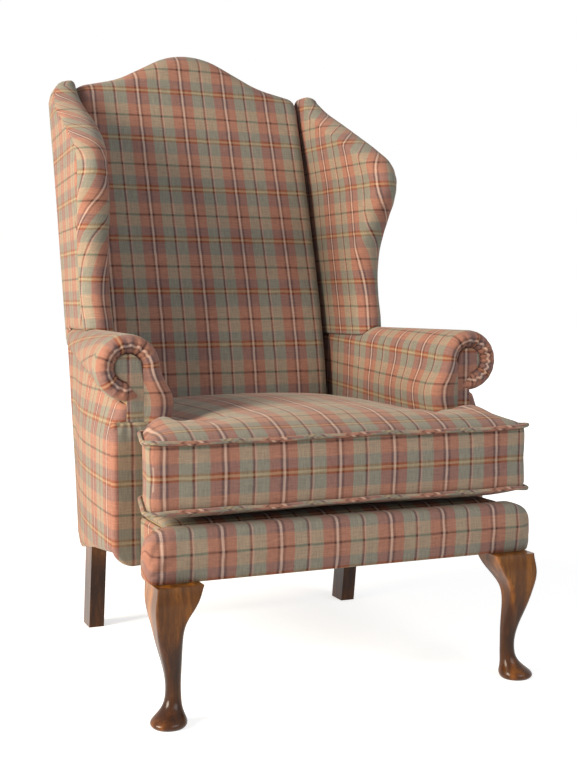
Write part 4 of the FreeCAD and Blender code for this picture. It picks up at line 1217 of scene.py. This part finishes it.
def make_cushion_shape():
    mesh = bpy.data.meshes.new("seat_cushion")
    mesh.from_pydata(metres(start_points).tolist(), [], start_faces)
    piece = bpy.data.objects.new("seat_cushion", mesh)
    bpy.context.scene.collection.objects.link(piece)
    remesh(piece, 0.006)
    places = chair_millimetres(piece.data)
    near_seam = np.abs(np.abs(places[:, 2] - CUSHION_MIDDLE) - CUSHION_WALL / 2)
    edge = edge_distance(places[:, :2], cushion_plan(1.5, CUSHION_CORNER))
    pinned = np.where((near_seam < 4.2) & (edge < 7))[0]
    moved = blow_up(piece, pinned)
    print("the filling pushed the cover by up to", round(moved * 1000, 1), "mm")
    return piece


def edge_distance(points, outline):
    # Distance from each point to a closed outline, in plan.
    a, b = outline, np.roll(outline, -1, axis=0)
    run = b - a
    best = np.full(len(points), 1e9)
    for start, way in zip(a, run):
        length = way @ way
        if length < 1e-9:
            continue
        share = np.clip(((points - start) @ way) / length, 0, 1)
        best = np.minimum(best, np.linalg.norm(points - start - share[:, None] * way, axis=1))
    return best


cushion = make_cushion_shape()
print("cushion mesh:", len(cushion.data.vertices), "points")

# %% [markdown]
# The simulated cover is even and tight. A used cushion has dog-eared corners, a crown that stands
# highest in the middle, puffed ears, and creases that fan out from the two inner corners where
# it turns round the arms. These are last moves on the points. Then the weave is laid on.

# %% Dog-ears, crown and creases
FRONT_CORNERS = ((-327, -304), (327, -304))
FAN_CORNERS = ((-222, -160), (222, -160))


def settle(points):
    # points are in setting-out millimetres.
    x, y, z = points.T.copy()
    upper = np.clip((z - CUSHION_MIDDLE) / (CUSHION_WALL / 2), -1, 1)
    for cx, cy in FRONT_CORNERS:
        near = 3.0 * np.exp(-((x - cx) ** 2 + (y - cy) ** 2) / 30 ** 2)
        out = 0.3 + 3.7 * (1 - upper ** 2)
        x += near * np.sign(cx) * out
        y -= near * out
        z += near * upper
    top = np.clip((z - 404) / 8, 0, 1)
    dome = np.clip(1 - (x / 300) ** 2, 0, 1) * np.clip(1 - ((y + 60) / 330) ** 2, 0, 1)
    z += top * 9.0 * dome
    ears = np.exp(-((np.abs(x) - 272) / 34) ** 2 - ((y + 205) / 42) ** 2)
    z += top * 13.0 * ears
    for cx, cy in FAN_CORNERS:
        away = np.hypot(x - cx, y - cy)
        angle = np.arctan2(y - cy, (x - cx) * np.sign(cx))
        fan = np.exp(-((away - 34) / 46) ** 2) * (0.5 + 0.5 * np.cos(angle + 1.2))
        z += top * 3.4 * fan * np.sin(angle * 7)
    belly = np.clip((304 - z) / 8, 0, 1)
    z += belly * np.clip(290 - z, 0, 6)
    return np.stack([x, y, z], axis=1)


def lay_weave(piece, phase):
    # Each face takes the panel that it belongs to: top, bottom, or the border round the sides.
    mesh = piece.data
    places = chair_millimetres(mesh)
    layer = mesh.uv_layers.new(name="cloth")
    cloth = np.zeros((len(mesh.loops), 2))
    for face in mesh.polygons:
        middle = places[list(face.vertices)].mean(axis=0)
        side_wall = CUSHION_LOW_SEAM - 1 < middle[2] < CUSHION_HIGH_SEAM + 2
        facing_front = abs(face.normal.y) > abs(face.normal.x)
        for loop in face.loop_indices:
            x, y, z = places[mesh.loops[loop].vertex_index]
            if not side_wall:
                cloth[loop] = (x, (y - CUSHION_FRONT) + (z - CUSHION_HIGH_SEAM) * 0.5 + CUSHION_WALL)
            elif facing_front:
                cloth[loop] = (x, z - CUSHION_LOW_SEAM)
            else:
                turn = (y - CUSHION_FRONT) * np.sign(-middle[0])
                cloth[loop] = (np.sign(middle[0]) * 327 - turn, z - CUSHION_LOW_SEAM)
    cloth += np.array(phase)
    layer.data.foreach_set("uv", cloth.ravel())


def dress_cushion(piece):
    places = chair_millimetres(piece.data)
    piece.data.vertices.foreach_set("co", metres(settle(places)).astype(np.float32).ravel())
    piece.data.update()
    soften = piece.modifiers.new("soften", "CORRECTIVE_SMOOTH")
    soften.iterations = 3
    soften.use_only_smooth = True
    apply_modifiers(piece)
    lay_weave(piece, CUSHION_PHASE)
    piece.data.polygons.foreach_set("use_smooth", [True] * len(piece.data.polygons))
    piece.data.materials.clear()
    finish_piece(piece, body="cushion")
    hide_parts("cushion_cover")
    return piece


CUSHION_PHASE = (90.2, 48.5)
dress_cushion(cushion)
print("cushion dressed")

# %% [markdown]
# ## Piping
# Piping is a cord in a strip of the same cloth, cut on the bias, sewn into the seam. We run a
# tube along the seam, with the same dog-ears as the cushion, and turn its weave by 45 degrees.

# %% Piping round the cushion
def tube(name, path, radius, body, finish="tartan_wool", around=10):
    # A closed tube round a level loop, with the weave on the bias.
    count = len(path)
    ahead = np.roll(path, -1, axis=0) - np.roll(path, 1, axis=0)
    ahead /= np.linalg.norm(ahead, axis=1, keepdims=True)
    out = np.cross(ahead, np.array((0, 0, 1.0)))
    out /= np.linalg.norm(out, axis=1, keepdims=True)
    up = np.cross(out, ahead)
    turns = np.linspace(0, 2 * math.pi, around, endpoint=False)
    spokes = [np.outer(np.cos(turns), out[i]) + np.outer(np.sin(turns), up[i]) for i in range(count)]
    rings = path[:, None, :] + radius * np.array(spokes)
    length = run_lengths(np.vstack([path, path[:1]]), 0)
    girth = np.append(turns, 2 * math.pi) * radius
    cloth = lay_cloth((length[:, None] + girth[None, :]) * math.sqrt(0.5),
                      (length[:, None] - girth[None, :]) * math.sqrt(0.5))
    faces, places = ring_faces(count, around, round_again=True)
    corners = [cloth[place] for place in places]
    return mesh_piece(name, rings.reshape(-1, 3), faces, corners, finish=finish, body=body)


def make_piping(word, height):
    plan = cushion_plan(-1.4, CUSHION_CORNER, 420)
    path = np.column_stack([plan, np.full(len(plan), height)])
    reached = run_lengths(path, 0)
    path[:, 2] += 0.7 * np.sin(reached / 47) + 0.5 * np.sin(reached / 19)
    settled = settle(path)
    piece = tube("piping_" + word, settled, 3.4, "cushion")
    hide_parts("cushion_piping_" + word)
    return piece


make_piping("bottom", CUSHION_LOW_SEAM)
make_piping("top", CUSHION_HIGH_SEAM)
print("piping made")

# %% [markdown]
# ## Inside the cushion and under the seat
# These pieces are seldom seen, but they are there when the cushion lifts or the chair is turned
# over: the foam core, the zip, the platform that the cushion lies on, the hessian over the
# springs, the webbing of the back, and the black cloth below.

# %% Foam core, platform and zip
def make_filling():
    levels = ((293, 62), (297, 40), (304, 18), (312, 11), (330, 14), (358, 15), (386, 14), (404, 11),
              (412, 20), (419, 42), (424, 66))
    rings = cushion_rings(levels, 200)
    cloth = np.zeros((len(levels), 201, 2))
    piece = loop_piece("foam_core", rings, cloth, finish="foam", body="cushion")
    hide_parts("cushion_filling")
    return piece


def level_sheet(name, outline, z, thickness, finish, sag=0.0, step=14.0):
    # A flat sheet cut to an outline given as (half width at this Y) pairs, front to rear.
    ys = [y for y, half in outline]
    halves = [half for y, half in outline]
    grid = []
    for y in np.arange(ys[0], ys[-1] + 0.1, step):
        half = np.interp(y, ys, halves)
        line = []
        for share in np.linspace(-1, 1, 41):
            drop = sag * (1 - share ** 2) * math.sin(math.pi * (y - ys[0]) / (ys[-1] - ys[0]))
            line.append((share * half, y, z - drop))
        grid.append(line)
    return soft_slab(name, np.array(grid), thickness, thickness * 0.45, (0, 0, 1), finish=finish)


SEAT_PLAN = ((-263.0, 281.0), (-150.5, 281.0), (-149.5, 232.4), (262.0, 232.4))
make_filling()
platform = level_sheet("platform_cover", SEAT_PLAN, 286.8, 9.6, "tartan_wool", sag=1.0)
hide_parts("platform_pad")
hessian = level_sheet("hessian_cover", SEAT_PLAN, 276.6, 1.0, "jute")
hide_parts("spring_cover")
print("platform and hessian laid")

# %% Black bottom cloth, webbing and zip
def make_bottom_cloth():
    low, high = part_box("bottom_cloth")
    half = high.x * 1000
    front, rear = low.y * 1000 - SET_OUT, high.y * 1000 - SET_OUT
    grid = []
    for share in np.linspace(0, 1, 40):
        y = front + share * (rear - front)
        z = high.z * 1000 - 0.3 + share * (low.z - high.z) * 1000
        line = []
        for across in np.linspace(-1, 1, 41):
            sag = 5.0 * (1 - across ** 2) * math.sin(math.pi * share)
            line.append((across * half, y, z - sag))
        grid.append(line)
    piece = soft_slab("bottom_lining", np.array(grid), 0.8, 0.4, (0, 0, -1), finish="black_cloth")
    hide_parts("bottom_cloth")
    run = float(np.hypot(rear - front, (high.z - low.z) * 1000)) / 1000
    return round(run, 3)


STAY_HEIGHT, STRAP_START, STRAPS_END, STRAP_DEPTH = 112, 102, 800, 34.5


def make_webbing():
    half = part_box("back_webbing")[1].x * 1000
    first = STAY_HEIGHT + STRAP_START
    spacing = (STRAPS_END - first) / 5
    made = []
    for number in range(5):
        grid = []
        for rise in np.linspace(0, 1, 9):
            height = first + number * spacing + rise * 50
            line = []
            for across in np.linspace(-1, 1, 61):
                give = 0.3 * math.sin(across * 40 + number)
                y, z = back_point(STRAP_DEPTH + 0.2 * give, height)
                line.append((across * half, y, z))
            grid.append(line)
        made.append(soft_slab("back_strap_" + str(number + 1), np.array(grid), 1.4, 0.6, (0, -1, 0),
                              finish="jute"))
    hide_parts("back_webbing")
    return made


TOOTH_SIDES = ((0, 1, 3, 2), (4, 6, 7, 5), (0, 4, 5, 1), (2, 3, 7, 6), (0, 2, 6, 4), (1, 5, 7, 3))


def make_zip():
    low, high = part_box("cushion_zip_tape")
    face = high.y * 1000 - SET_OUT
    half, bottom, top = high.x * 1000, low.z * 1000, high.z * 1000
    grid = []
    for z in np.linspace(bottom, top, 9):
        grid.append([(x, face, z) for x in np.linspace(-half, half, 80)])
    tape = soft_slab("zip_tape", np.array(grid), 1.1, 0.4, (0, 1, 0), finish="black_cloth",
                     body="cushion")
    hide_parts("cushion_zip_tape")
    middle = (bottom + top) / 2
    points, faces = [], []
    for number, x in enumerate(np.arange(-half + 20, half - 6, 3.2)):
        shift = 0.9 if number % 2 else -0.9
        base = len(points)
        for dx in (-0.9, 0.9):
            for dy in (-0.1, 1.1):
                for dz in (-1.6, 1.6):
                    narrow = 0.7 if dz * shift > 0 else 1.0
                    points.append((x + dx * narrow, face + dy, middle + shift + dz))
        for quad in TOOTH_SIDES:
            faces.append(tuple(base + corner for corner in quad))
    teeth = mesh_piece("zip_teeth", points, faces, np.zeros((len(faces) * 4, 2)),
                       finish="brass_zip", body="cushion")
    return teeth


print("bottom cloth run:", make_bottom_cloth(), "m")
print("straps:", len(make_webbing()))
print("zip teeth points:", len(make_zip().data.vertices))

# %% [markdown]
# ## Camera, floor and light
# The portrait is taken from the sitter's right, from a little above the seat, with a fairly long
# lens. The studio is a plain pale floor that runs into a white ground. A broad soft lamp at the
# left gives the warm side its light, and a weaker one from the front opens the shadows.

# %% Camera
CAMERA_PLACE = Vector((-0.7965, -2.0338, 0.6120))
CAMERA_AIM = Vector((0.0234, -0.1022, 0.4653))
FOCAL_PIXELS, PHOTO_HEIGHT, SENSOR = 1202.4, 768, 36.0


def make_camera():
    data = bpy.data.cameras.new("portrait_camera")
    data.sensor_fit = "VERTICAL"
    data.sensor_height = SENSOR
    data.sensor_width = SENSOR
    data.lens = FOCAL_PIXELS * SENSOR / PHOTO_HEIGHT
    camera = bpy.data.objects.new("portrait_camera", data)
    bpy.context.scene.collection.objects.link(camera)
    camera.location = CAMERA_PLACE
    camera.rotation_euler = (CAMERA_AIM - CAMERA_PLACE).to_track_quat("-Z", "Y").to_euler()
    bpy.context.scene.camera = camera
    return data.lens


print("lens", round(make_camera(), 2), "mm")

# %% Floor, world and lamps
def seen_directly(tree):
    # One for the rays that see the ground itself, or its mirror image, and zero for its light.
    rays = node(tree, "ShaderNodeLightPath").outputs
    return maths(tree, "MAXIMUM", rays["Is Camera Ray"],
                 maths(tree, "MAXIMUM", rays["Is Glossy Ray"], rays["Is Transmission Ray"]))


def make_floor():
    material, tree, shader = new_material("studio_floor")
    seen = seen_directly(tree)
    # The floor runs into the white ground: further from the chair it is paler.
    place = node(tree, "ShaderNodeNewGeometry").outputs["Position"]
    away = node(tree, "ShaderNodeVectorMath", {0: place}, operation="LENGTH").outputs["Value"]
    paler = node(tree, "ShaderNodeMapRange", {"Value": away, "From Min": 0.9, "From Max": 2.6,
                                              "To Min": 0.66, "To Max": 1.0}).outputs["Result"]
    feed(tree, shader, {"Base Color": (0.80, 0.80, 0.80, 1), "Roughness": 0.9,
                        "Specular IOR Level": 0.0, "Emission Color": (1, 1, 1, 1),
                        "Emission Strength": maths(tree, "MULTIPLY", seen, paler)})
    mesh = bpy.data.meshes.new("studio_floor")
    reach = 14.0
    mesh.from_pydata([(-reach, -reach, 0), (reach, -reach, 0), (reach, reach, 0), (-reach, reach, 0)],
                     [], [(0, 1, 2, 3)])
    floor = bpy.data.objects.new("studio_floor", mesh)
    floor.data.materials.append(material)
    bpy.context.scene.collection.objects.link(floor)


def make_world():
    world = bpy.data.worlds.new("studio")
    world.use_nodes = True
    tree = world.node_tree
    seen = seen_directly(tree)
    strength = maths(tree, "MULTIPLY_ADD", seen, 1.0 - AMBIENT, AMBIENT)
    feed(tree, tree.nodes["Background"], {"Color": (1, 1, 1, 1), "Strength": strength})
    bpy.context.scene.world = world


def make_lamp(name, place, aim, width, height, power, colour):
    data = bpy.data.lights.new(name, "AREA")
    data.shape = "RECTANGLE"
    data.size, data.size_y = width, height
    data.energy = power
    data.color = colour
    lamp = bpy.data.objects.new(name, data)
    lamp.location = place
    lamp.rotation_euler = (Vector(aim) - Vector(place)).to_track_quat("-Z", "Y").to_euler()
    bpy.context.scene.collection.objects.link(lamp)


AMBIENT = 0.29
make_floor()
make_world()
make_lamp("side_lamp", (-3.4, -0.7, 1.6), (0, 0, 0.5), 1.6, 1.6, 235, (1.0, 0.88, 0.72))
make_lamp("front_lamp", (1.3, -3.4, 2.4), (0, 0, 0.5), 2.2, 1.8, 54, (0.93, 0.97, 1.0))
bpy.context.scene.view_settings.view_transform = "Standard"
print("studio ready")
